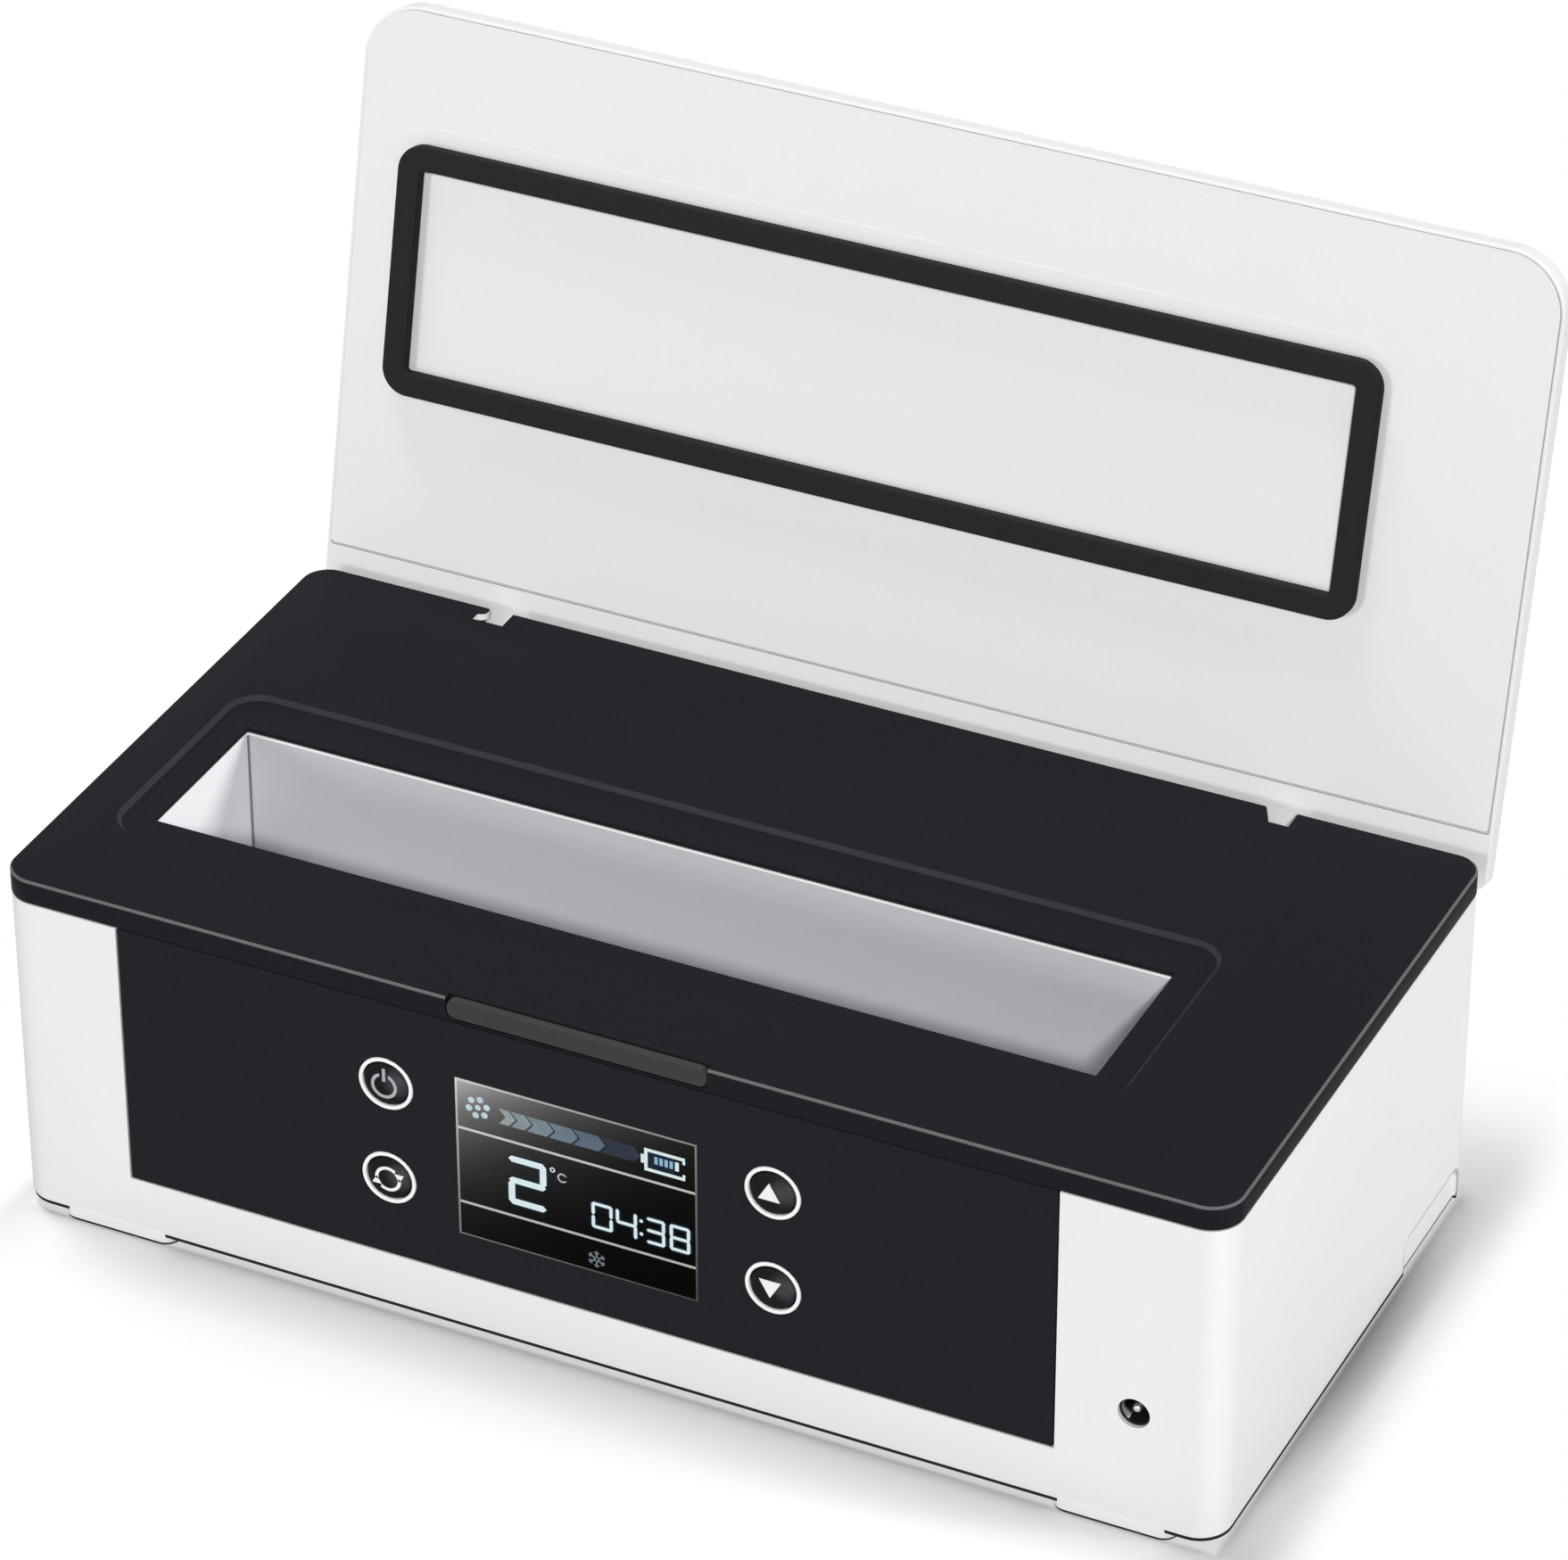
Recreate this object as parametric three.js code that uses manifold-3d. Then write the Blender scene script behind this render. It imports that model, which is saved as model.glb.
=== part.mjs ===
// Insulin cooling case: a thermoelectric cooler box with a hinged lid, a display and four buttons.
// Millimetres, +Z up. The front with the buttons faces -Y, and the lid stands open behind the deck.
// Inside: an aluminium chamber in foam, a Peltier module, a heat sink with a fan, cells and two boards.
import * as THREE from "three";
import { mergeVertices } from "three/addons/utils/BufferGeometryUtils.js";
import Module from "manifold-3d";

const wasm = await Module();
wasm.setup();

// Gaps that every piece shares
const seam = 0.2; // between two faces that rest on each other
const fit = 0.3; // round a piece that sits in a hole or a pocket
const overrun = 1; // how far a cut runs past the face it opens

// Deck: the black top plate, with the chamber mouth and the hinge notches
const deckWidth = 230;
const deckDepth = 114;
const deckTop = 70.4;
const deckThickness = 4.6;
const deckFrontRadius = 6;
const deckRearRadius = 5;
const deckBevel = 0.5;
const ledgeDepth = 0.8;
const ledgeSlope = 0.9;
const ledgeRadius = 5.5;
const lipThickness = 0.8; // the deck's lip over the top of the liner's walls
const deckBossRadius = 3.4;
const deckBossInsetX = 9;
const deckBossInsetY = 13;
const deckRibHeight = 3;
const deckRibThickness = 1.4;

// Chamber: the cold aluminium liner under the mouth
const mouthLeftMargin = 15.4;
const mouthRightMargin = 35.6;
const mouthFrontMargin = 27.3;
const mouthDepth = 33.2;
const chamberDepth = 30;
const linerWall = 0.8;
const foamWall = 6;
const foamFloor = 5;

// Housing and bottom cover
const housingInset = 0.1;
const housingWall = 2.4;
const housingBevel = 0.5;
const coverThickness = 2;
const footHeight = 2.3;
const footLength = 23;
const footDepth = 11;
const footRadius = 3;
const footInsetX = 8;
const footInsetY = 0.4;
const notchLength = 25;
const notchHeight = 6.3;
const notchDepth = 0.6;
const notchInsetY = 5;

// Front panel with its window, four buttons and the power socket
const panelLeftInset = 23;
const panelRightInset = 29.9;
const panelBottom = 12.8;
const panelThickness = 1.2;
const windowWidth = 45.7;
const windowShift = -0.2;
const windowTopMargin = 11.1;
const windowBottomMargin = 9;
const lensThickness = 0.8;
const buttonSpacing = 73;
const buttonLift = 7.3;
const buttonDrop = 0.4;
const ringRadius = 5.3;
const ringWidth = 0.85;
const capProud = 0.3;
const capFlange = 0.8;
const capFlangeRadius = 5.3;
const buttonTravel = 0.8;
const controlMargin = 4;
const socketInsetX = 15.8;
const socketZ = 24.9;
const socketBore = 2.75;
const socketWall = 0.4;
const socketLip = 0.8; // the front wall's lip round the socket's mouth
const socketLength = 11;
const socketPinRadius = 0.9;
const socketFloor = 2;
const socketCollarWidth = 1.6;
const socketCollarLength = 2.2;

// Finger grip let into the deck's front edge
const gripShift = 0.2;
const gripLength = 48.7;
const gripHeight = 3.9;
const gripDepth = 1.5;
const gripRadius = 1.6;

// Lid: a shell with an inner panel, foam, a seal and two hinge arms
const openDegrees = 102.85;
const hingeInset = 4.1;
const hingeDrop = 3.86;
const lidGap = 2.1;
const lidThickness = 4.2;
const lidSideInset = 0.5;
const lidOverhang = 2.5;
const lidRearInset = 2;
const lidRail = 10.6;
const lidRim = 0.6;
const lidTopWall = 1;
const lidPanelThickness = 1.3;
const lidFrontRadius = 11;
const lidRearRadius = 2;
const lidBevel = 0.4;
const sealWidth = 4.6;
const sealRadius = 5;
const sealFrontMargin = 0.6;
const sealRearMargin = 4.2;
const sealSideMargin = 0.75;
const armInset = 38;
const armWidth = 5.4;
const armRadius = 2.3;
const armRear = 2;
const neckWidth = 3.1; // the arm narrows where it passes up through the deck's notch
const neckFront = 0.3;
const hingeNotchDepth = 4.7; // measured in from the deck's rear edge
const hingeNotchSlant = 2.3; // how much narrower the notch is at its front
const hingeNotchRadius = 1.2;
const hookSlotWidth = 2;
const hookSlotDepth = 0.9;
const pinRadius = 1;
const pinLength = 16;
const boreClearance = 0.15;
const hingeBossLength = 6.4;
const hingeBossDrop = 3;
const magnetWidth = 10;
const magnetDepth = 4;
const magnetThickness = 0.9;
const magnetInset = 9;

// Cooling engine under the chamber
const coldBlockWidth = 40;
const coldBlockDepth = 30;
const peltierSize = 30;
const peltierThickness = 3.6;
const sinkWidth = 60;
const sinkFrontReach = 19; // in front of the chamber's middle
const sinkFanGap = 9.7;
const sinkBase = 3;
const sinkFloorGap = 5.5;
const sinkFinCount = 11;
const sinkFinThickness = 1.1;
const sensorRadius = 1.5;
const sensorLength = 12;
const fanSize = 40;
const fanThickness = 10;
const fanBoreRadius = 18.7;
const fanHubRadius = 8;
const fanBladeCount = 7;
const fanBladeThickness = 1.2;
const fanBladePitch = 35;
const fanCornerRadius = 3;
const fanStrutWidth = 2.2;
const fanStrutThickness = 1.6;
const fanShaftRadius = 1.2;
const fanClearance = 0.6;
const fanFloorGap = 1;
const slotCount = 9;
const slotWidth = 1.8;
const slotLength = 34;
const slotPitch = 4;

// Cells and boards
const cellRadius = 9.2;
const cellGap = 1.2;
const trayWall = 1.6;
const trayInset = 2.5; // to the side wall
const trayClearance = 1; // to the heat sink
const boardThickness = 1.6;
const mainBoardDepth = 58;
const mainBoardInset = 5.8; // to the side wall
const mainBoardClearance = 10; // to the heat sink
const standoffHeight = 5;
const standoffRadius = 2.4;
const standoffInset = 5;
const coilRadius = 6;
const coilHeight = 6;
const capacitorRadius = 4;
const capacitorHeight = 11;
const displayMargin = 2;
const switchSize = 6;
const switchHeight = 1.6;
const switchNubRadius = 1.6;
const switchNubHeight = 0.5;
const postRadius = 2.2;

// Screws that clamp the cover, the housing and the deck
const screwRadius = 1;
const screwLength = 12;
const screwHeadRadius = 2.2;
const screwHeadHeight = 1.3;
const screwSlotWidth = 0.6;
const screwSlotDepth = 0.5;

// Places that follow from the sizes
const deckHalfWidth = deckWidth / 2;
const deckHalfDepth = deckDepth / 2;
const deckBottom = deckTop - deckThickness;
const ledgeTop = deckTop - ledgeDepth;
const housingHalfWidth = deckHalfWidth - housingInset;
const housingHalfDepth = deckHalfDepth - housingInset;
const housingBottom = footHeight;
const housingTop = deckBottom - seam;
const coverTop = housingBottom + coverThickness;
const innerHalfWidth = housingHalfWidth - housingWall;
const innerHalfDepth = housingHalfDepth - housingWall;
const mouthLeft = -deckHalfWidth + mouthLeftMargin;
const mouthRight = deckHalfWidth - mouthRightMargin;
const mouthFront = -deckHalfDepth + mouthFrontMargin;
const mouthRear = mouthFront + mouthDepth;
const mouthCentreX = (mouthLeft + mouthRight) / 2;
const mouthCentreY = (mouthFront + mouthRear) / 2;
const chamberFloor = deckTop - chamberDepth;
const linerBottom = chamberFloor - linerWall;
const sealLeft = mouthLeft - sealSideMargin - sealWidth;
const sealRight = mouthRight + sealSideMargin + sealWidth;
const sealFront = mouthFront - sealFrontMargin - sealWidth;
const sealRear = mouthRear + sealRearMargin + sealWidth;
const armX = deckHalfWidth - armInset;
const hingeY = deckHalfDepth - hingeInset;
const hingeZ = deckTop - hingeDrop;
const hingePocketTop = hingeZ + armRadius + fit;
const foamBottom = linerBottom - seam - foamFloor;
const coldBlockTop = linerBottom - seam;
const coldBlockBottom = foamBottom - seam;
const peltierTop = coldBlockBottom - seam;
const peltierBottom = peltierTop - peltierThickness;
const sinkTop = peltierBottom - seam;
const sinkBottom = coverTop + sinkFloorGap;
const sinkLeft = mouthCentreX - sinkWidth / 2;
const sinkRight = sinkLeft + sinkWidth;
const fanCentreZ = coverTop + fanFloorGap + fanSize / 2;
const fanRearY = innerHalfDepth - seam;
const sinkFront = mouthCentreY - sinkFrontReach;
const sinkRear = fanRearY - fanThickness - sinkFanGap;
const mainBoardLeft = sinkRight + mainBoardClearance;
const mainBoardRight = innerHalfWidth - mainBoardInset;
const mainBoardWidth = mainBoardRight - mainBoardLeft;
const mainBoardCentreX = (mainBoardLeft + mainBoardRight) / 2;
const panelLeft = -housingHalfWidth + panelLeftInset;
const panelRight = housingHalfWidth - panelRightInset;
const panelCentreX = (panelLeft + panelRight) / 2;
const panelBackY = -housingHalfDepth + panelThickness;
const windowCentreX = panelCentreX + windowShift;
const windowTop = housingTop - windowTopMargin;
const windowBottom = panelBottom + windowBottomMargin;
const gripCentreX = panelCentreX + gripShift;
const socketX = housingHalfWidth - socketInsetX;
const buttonLeftX = panelCentreX - buttonSpacing / 2;
const buttonRightX = panelCentreX + buttonSpacing / 2;
const buttonUpperZ = windowTop - buttonDrop - ringRadius;
const buttonLowerZ = windowBottom + buttonLift;
const buttonPlaces = {
  power: [buttonLeftX, buttonUpperZ],
  mode: [buttonLeftX, buttonLowerZ],
  up: [buttonRightX, buttonUpperZ],
  down: [buttonRightX, buttonLowerZ],
};
const capRadius = ringRadius - ringWidth - fit;
const capShoulderY = panelBackY + fit;
const capBackY = capShoulderY + capFlange;
const nubFrontY = capBackY + buttonTravel + seam;
const switchBackY = nubFrontY + switchNubHeight + switchHeight;
const controlBoardFrontY = switchBackY + seam;
const controlLeft = buttonLeftX - ringRadius - controlMargin;
const controlRight = buttonRightX + ringRadius + controlMargin;
const controlLow = Math.min(buttonLowerZ - ringRadius, windowBottom) - controlMargin;
const controlHigh = windowTop + controlMargin;
const screwPlaces = {};
for (const [side, signX] of [["left", -1], ["right", 1]]) {
  for (const [end, signY] of [["front", -1], ["rear", 1]]) {
    screwPlaces[end + "_" + side] = [
      signX * (innerHalfWidth - deckBossInsetX),
      signY * (innerHalfDepth - deckBossInsetY),
    ];
  }
}

// Materials, by what each piece is made of
function finish(color, roughness, metalness = 0) {
  return new THREE.MeshStandardMaterial({ color, roughness, metalness });
}
const whiteShell = finish(0xe9e9ea, 0.42);
const blackDeck = finish(0x25272b, 0.4);
const blackPanel = finish(0x232529, 0.24);
const gripRubber = finish(0x3b3c3a, 0.7);
const sealRubber = finish(0x1f2021, 0.75);
const aluminium = finish(0xcfcfd4, 0.35, 0.9);
const foamWhite = finish(0xf2efe6, 0.9);
const ceramic = finish(0xf4f4f2, 0.5);
const steel = finish(0xb9bcc0, 0.3, 1);
const displayGlass = finish(0x0c0f14, 0.08);
const ringWhite = finish(0xf5f5f5, 0.35);
const capBlack = finish(0x1d1e21, 0.35);
const boardGreen = finish(0x1f5a3a, 0.5);
const partBlack = finish(0x17181a, 0.45);
const cellWrap = finish(0x2e6fb0, 0.4);

// A closed geometry as a solid that can be joined and cut
function solidOf(geometry) {
  const bare = geometry.index ? geometry.toNonIndexed() : geometry.clone();
  bare.deleteAttribute("normal");
  bare.deleteAttribute("uv");
  const merged = mergeVertices(bare);
  return new wasm.Manifold(
    new wasm.Mesh({
      numProp: 3,
      vertProperties: merged.attributes.position.array,
      triVerts: new Uint32Array(merged.index.array),
    }),
  );
}

function geometryOf(solid) {
  const mesh = solid.getMesh();
  const geometry = new THREE.BufferGeometry();
  geometry.setAttribute("position", new THREE.BufferAttribute(mesh.vertProperties, 3));
  geometry.setIndex(new THREE.BufferAttribute(mesh.triVerts, 1));
  const flat = geometry.toNonIndexed();
  flat.computeVertexNormals();
  return flat;
}

function joined(first, ...others) {
  return others.reduce((whole, other) => whole.add(other), first);
}

function cut(first, ...others) {
  return others.reduce((left, other) => left.subtract(other), first);
}

// A box between two corners
function block(x0, x1, y0, y1, z0, z1) {
  const geometry = new THREE.BoxGeometry(x1 - x0, y1 - y0, z1 - z0);
  geometry.translate((x0 + x1) / 2, (y0 + y1) / 2, (z0 + z1) / 2);
  return solidOf(geometry);
}

// A round bar along x, y or z: its middle is at (a, b) in the other two axes
function bar(axis, radius, start, end, a, b, sides = 20) {
  const geometry = new THREE.CylinderGeometry(radius, radius, end - start, sides);
  const middle = (start + end) / 2;
  if (axis === "x") {
    geometry.rotateZ(Math.PI / 2);
    geometry.translate(middle, a, b);
  } else if (axis === "y") {
    geometry.translate(a, middle, b);
  } else {
    geometry.rotateX(Math.PI / 2);
    geometry.translate(a, b, middle);
  }
  return solidOf(geometry);
}

// A rounded outline between two corners; the low side and the high side have their own radius
function outline(x0, x1, y0, y1, lowRadius, highRadius = lowRadius) {
  const shape = new THREE.Shape();
  shape.moveTo(x0 + lowRadius, y0);
  shape.lineTo(x1 - lowRadius, y0);
  shape.absarc(x1 - lowRadius, y0 + lowRadius, lowRadius, -Math.PI / 2, 0, false);
  shape.lineTo(x1, y1 - highRadius);
  shape.absarc(x1 - highRadius, y1 - highRadius, highRadius, 0, Math.PI / 2, false);
  shape.lineTo(x0 + highRadius, y1);
  shape.absarc(x0 + highRadius, y1 - highRadius, highRadius, Math.PI / 2, Math.PI, false);
  shape.lineTo(x0, y0 + lowRadius);
  shape.absarc(x0 + lowRadius, y0 + lowRadius, lowRadius, Math.PI, Math.PI * 1.5, false);
  return shape;
}

// The outline as a plate from z0 to z1, with an optional bevel on both of its rims
function plate(shape, z0, z1, bevel = 0, segments = 6) {
  const geometry = new THREE.ExtrudeGeometry(shape, {
    depth: z1 - z0 - 2 * bevel,
    bevelEnabled: bevel > 0,
    bevelThickness: bevel,
    bevelSize: bevel,
    bevelOffset: -bevel,
    bevelSegments: 1,
    curveSegments: segments,
  });
  geometry.translate(0, 0, z0 + bevel);
  return solidOf(geometry);
}

// A plate in the plane of the front: its outline is in x and z, and it runs from y0 to y1
function frontPlate(shape, y0, y1, bevel = 0, segments = 6) {
  return plate(shape, -y1, -y0, bevel, segments).rotate([90, 0, 0]);
}

const insulinCase = new THREE.Group();

// Puts a finished piece into a group under the name a person would use
function add(group, name, solid, material) {
  const mesh = new THREE.Mesh(geometryOf(solid), material);
  mesh.name = name;
  group.add(mesh);
  return mesh;
}

// A hinge notch seen from above: its left wall slants, and ends in a round corner at the deck's edge
function notchOutline(left, right) {
  const front = deckHalfDepth - hingeNotchDepth;
  const edge = deckHalfDepth;
  const slope = Math.atan2(hingeNotchDepth, hingeNotchSlant);
  // The corner is round where the slanted wall would meet the edge
  const setback = hingeNotchRadius * Math.tan(slope / 2);
  const centreX = left - setback;
  const shape = new THREE.Shape();
  shape.moveTo(left + hingeNotchSlant, front);
  shape.lineTo(right, front);
  shape.lineTo(right, edge + overrun);
  shape.lineTo(centreX, edge + overrun);
  shape.lineTo(centreX, edge);
  shape.absarc(centreX, edge - hingeNotchRadius, hingeNotchRadius, Math.PI / 2, Math.PI / 2 - slope, true);
  return shape;
}

// Deck with its sunken ledge, mouth, hinge notches, grip pocket and screw bosses
function makeDeck() {
  const deckOutline = outline(
    -deckHalfWidth, deckHalfWidth, -deckHalfDepth, deckHalfDepth, deckFrontRadius, deckRearRadius,
  );
  let deck = plate(deckOutline, deckBottom, deckTop, deckBevel);
  const ledge = new THREE.ExtrudeGeometry(
    outline(sealLeft - fit, sealRight + fit, sealFront - fit, sealRear + fit, ledgeRadius),
    {
      depth: overrun,
      bevelThickness: ledgeDepth,
      bevelSize: ledgeSlope,
      bevelSegments: 1,
      curveSegments: 6,
    },
  );
  ledge.translate(0, 0, deckTop);
  const mouthMargin = linerWall + fit;
  deck = cut(
    deck,
    solidOf(ledge),
    block(mouthLeft, mouthRight, mouthFront, mouthRear, deckBottom - overrun, deckTop + overrun),
    block(
      mouthLeft - mouthMargin, mouthRight + mouthMargin,
      mouthFront - mouthMargin, mouthRear + mouthMargin,
      deckBottom - overrun, ledgeTop - lipThickness,
    ),
    frontPlate(
      outline(
        gripCentreX - gripLength / 2 - seam, gripCentreX + gripLength / 2 + seam,
        deckTop - gripHeight - seam, deckTop + gripHeight, gripRadius,
      ),
      -deckHalfDepth - overrun, -deckHalfDepth + gripDepth + seam,
    ),
  );
  // A rib under the plate steps inside the housing walls and keeps the deck in place
  const ribFrontX = innerHalfWidth - fit;
  const ribFrontY = innerHalfDepth - fit;
  for (const sign of [-1, 1]) {
    const outer = sign * ribFrontX;
    const inner = sign * (ribFrontX - deckRibThickness);
    deck = deck.add(block(
      Math.min(outer, inner), Math.max(outer, inner),
      -ribFrontY + deckFrontRadius, ribFrontY - deckFrontRadius,
      deckBottom - deckRibHeight, deckBottom + seam,
    ));
  }
  for (const [x, y] of Object.values(screwPlaces)) {
    deck = deck.add(bar("z", deckBossRadius, coverTop + seam, deckBottom + seam, x, y, 16));
    deck = deck.subtract(
      bar("z", screwRadius + fit, coverTop - overrun, coverTop + screwLength + seam, x, y, 12),
    );
  }
  const notchHalf = armWidth / 2 + fit;
  const pinHalf = pinLength / 2 + seam;
  for (const sign of [-1, 1]) {
    const x = sign * armX;
    const bossHalf = notchHalf + hingeBossLength;
    deck = deck.add(block(
      x - bossHalf, x + bossHalf, hingeY - armRadius, housingHalfDepth,
      hingeZ - hingeBossDrop, deckBottom + seam,
    ));
    deck = cut(
      deck,
      block(
        x - notchHalf, x + notchHalf, hingeY - armRadius - fit, deckHalfDepth + overrun,
        hingeZ - hingeBossDrop - overrun, hingePocketTop,
      ),
      plate(notchOutline(x - notchHalf, x + notchHalf), hingePocketTop - seam, deckTop + overrun),
      bar("x", pinRadius + boreClearance, x - pinHalf, x + pinHalf, hingeY, hingeZ, 16),
    );
  }
  // The left notch has a short slot beside it
  const slotRight = -armX - notchHalf + hingeNotchSlant + seam;
  const slotFront = deckHalfDepth - hingeNotchDepth;
  deck = deck.subtract(block(
    slotRight - hookSlotWidth - seam, slotRight, slotFront, slotFront + hookSlotDepth,
    hingePocketTop - seam, deckTop + overrun,
  ));
  add(insulinCase, "top_deck", deck, blackDeck);
}

function makeGrip() {
  const grip = frontPlate(
    outline(
      gripCentreX - gripLength / 2, gripCentreX + gripLength / 2,
      deckTop - gripHeight, deckTop - seam, gripRadius,
    ),
    -deckHalfDepth, -deckHalfDepth + gripDepth, deckBevel / 2, 4,
  );
  add(insulinCase, "finger_grip", grip, gripRubber);
}

// Housing: four walls, with a pocket for the front panel and gratings for the fan
function makeHousing() {
  const outer = outline(
    -housingHalfWidth, housingHalfWidth, -housingHalfDepth, housingHalfDepth,
    deckFrontRadius - housingInset, deckRearRadius - housingInset,
  );
  const inner = outline(
    -innerHalfWidth, innerHalfWidth, -innerHalfDepth, innerHalfDepth,
    deckFrontRadius - housingInset - housingWall / 2, deckRearRadius - housingInset - housingWall / 2,
  );
  let housing = joined(
    plate(outer, housingBottom, (housingBottom + housingTop) / 2, housingBevel),
    plate(outer, housingBottom + housingBevel, housingTop),
  );
  housing = cut(
    housing,
    plate(inner, housingBottom - overrun, housingTop + overrun),
    block(
      panelLeft, panelRight, -housingHalfDepth - overrun, panelBackY + seam,
      panelBottom, housingTop + overrun,
    ),
    block(
      controlLeft, controlRight, -housingHalfDepth, -innerHalfDepth + overrun,
      controlLow, controlHigh,
    ),
    bar(
      "y", socketBore + boreClearance, -housingHalfDepth - overrun,
      -innerHalfDepth + overrun, socketX, socketZ, 32,
    ),
    bar(
      "y", socketBore + socketWall + boreClearance, -housingHalfDepth + socketLip,
      -innerHalfDepth + overrun, socketX, socketZ,
    ),
  );
  const bossHalf = armWidth / 2 + fit + hingeBossLength + fit;
  for (const x of [-armX, armX]) {
    housing = housing.subtract(block(
      x - bossHalf, x + bossHalf, innerHalfDepth - overrun, housingHalfDepth + overrun,
      hingeZ - hingeBossDrop - fit, housingTop + overrun,
    ));
  }
  // Upright slots behind the fan, and a finger notch low on each side wall
  for (let i = 0; i < slotCount; i++) {
    const x = mouthCentreX + (i - (slotCount - 1) / 2) * slotPitch;
    housing = housing.subtract(block(
      x - slotWidth / 2, x + slotWidth / 2, innerHalfDepth - overrun, housingHalfDepth + overrun,
      fanCentreZ - slotLength / 2, fanCentreZ + slotLength / 2,
    ));
  }
  for (const sign of [-1, 1]) {
    const outerX = sign * (housingHalfWidth + overrun);
    const innerX = sign * (housingHalfWidth - notchDepth);
    housing = housing.subtract(block(
      Math.min(outerX, innerX), Math.max(outerX, innerX),
      housingHalfDepth - notchInsetY - notchLength, housingHalfDepth - notchInsetY,
      housingBottom - overrun, housingBottom + notchHeight,
    ));
  }
  // Posts on the inside of the front wall carry the control board
  for (const x of [controlLeft - postRadius - seam, controlRight + postRadius + seam]) {
    for (const z of [controlLow + postRadius, controlHigh - postRadius]) {
      housing = housing.add(
        bar("y", postRadius, -innerHalfDepth - seam, controlBoardFrontY - seam, x, z, 12),
      );
    }
  }
  add(insulinCase, "lower_housing", housing, whiteShell);
}

// Bottom cover with air slots, screw holes and the standoffs of the main board
function makeCover() {
  let cover = plate(
    outline(
      -innerHalfWidth + fit, innerHalfWidth - fit, -innerHalfDepth + fit, innerHalfDepth - fit,
      deckFrontRadius - housingInset - housingWall / 2, deckRearRadius - housingInset - housingWall / 2,
    ),
    housingBottom, coverTop,
  );
  for (let i = 0; i < slotCount; i++) {
    const x = mouthCentreX + (i - (slotCount - 1) / 2) * slotPitch;
    cover = cover.subtract(block(
      x - slotWidth / 2, x + slotWidth / 2,
      mouthCentreY - slotLength / 2, mouthCentreY + slotLength / 2,
      housingBottom - overrun, coverTop + overrun,
    ));
  }
  for (const [x, y] of Object.values(screwPlaces)) {
    cover = cut(
      cover,
      bar("z", screwRadius + fit, housingBottom - overrun, coverTop + overrun, x, y, 12),
      bar("z", screwHeadRadius + fit, housingBottom - overrun, housingBottom + screwHeadHeight, x, y, 16),
    );
  }
  for (const signX of [-1, 1]) {
    for (const signY of [-1, 1]) {
      cover = cover.add(bar(
        "z", standoffRadius, coverTop - seam, coverTop + standoffHeight,
        mainBoardCentreX + signX * (mainBoardWidth / 2 - standoffInset),
        signY * (mainBoardDepth / 2 - standoffInset), 12,
      ));
    }
  }
  add(insulinCase, "bottom_cover", cover, whiteShell);
}

function makeFeet() {
  for (const [side, signX] of [["left", -1], ["right", 1]]) {
    for (const [end, signY] of [["front", -1], ["rear", 1]]) {
      const x = signX * (housingHalfWidth - footInsetX - footLength / 2);
      const edgeY = signY * (housingHalfDepth - footInsetY);
      const farY = edgeY - signY * footDepth;
      const foot = plate(
        outline(
          x - footLength / 2, x + footLength / 2, Math.min(edgeY, farY), Math.max(edgeY, farY),
          footRadius,
        ),
        0, footHeight - seam, seam, 4,
      );
      add(insulinCase, "foot_" + end + "_" + side, foot, whiteShell);
    }
  }
}

function makeScrews() {
  for (const [place, [x, y]] of Object.entries(screwPlaces)) {
    const headTop = housingBottom + screwHeadHeight - seam;
    let screw = joined(
      bar("z", screwHeadRadius, headTop - screwHeadHeight + 2 * seam, headTop, x, y, 16),
      bar("z", screwRadius, headTop - seam, coverTop + screwLength, x, y, 12),
    );
    const slotTop = headTop - screwHeadHeight + 2 * seam + screwSlotDepth;
    for (const [halfX, halfY] of [
      [screwHeadRadius / 2, screwSlotWidth / 2],
      [screwSlotWidth / 2, screwHeadRadius / 2],
    ]) {
      screw = screw.subtract(
        block(x - halfX, x + halfX, y - halfY, y + halfY, housingBottom - overrun, slotTop),
      );
    }
    add(insulinCase, "case_screw_" + place, screw, steel);
  }
}

// Front panel, its display window and the pieces behind it
function makeFrontPanel() {
  let panel = block(
    panelLeft + fit, panelRight - fit, -housingHalfDepth, panelBackY,
    panelBottom + fit, housingTop,
  );
  panel = panel.subtract(block(
    windowCentreX - windowWidth / 2, windowCentreX + windowWidth / 2,
    -housingHalfDepth - overrun, panelBackY + overrun, windowBottom, windowTop,
  ));
  for (const [x, z] of Object.values(buttonPlaces)) {
    panel = panel.subtract(
      bar("y", ringRadius + fit, -housingHalfDepth - overrun, panelBackY + overrun, x, z, 32),
    );
  }
  add(insulinCase, "front_panel", panel, blackPanel);
}

function makeDisplay() {
  const halfWidth = windowWidth / 2 - fit;
  const lensBackY = -housingHalfDepth + lensThickness;
  add(
    insulinCase,
    "display_lens",
    block(
      windowCentreX - halfWidth, windowCentreX + halfWidth, -housingHalfDepth, lensBackY,
      windowBottom + fit, windowTop - fit,
    ),
    displayGlass,
  );
  add(
    insulinCase,
    "display_module",
    block(
      windowCentreX - windowWidth / 2 - displayMargin, windowCentreX + windowWidth / 2 + displayMargin,
      panelBackY + fit, controlBoardFrontY - seam,
      windowBottom - displayMargin, windowTop + displayMargin,
    ),
    partBlack,
  );
}

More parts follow.
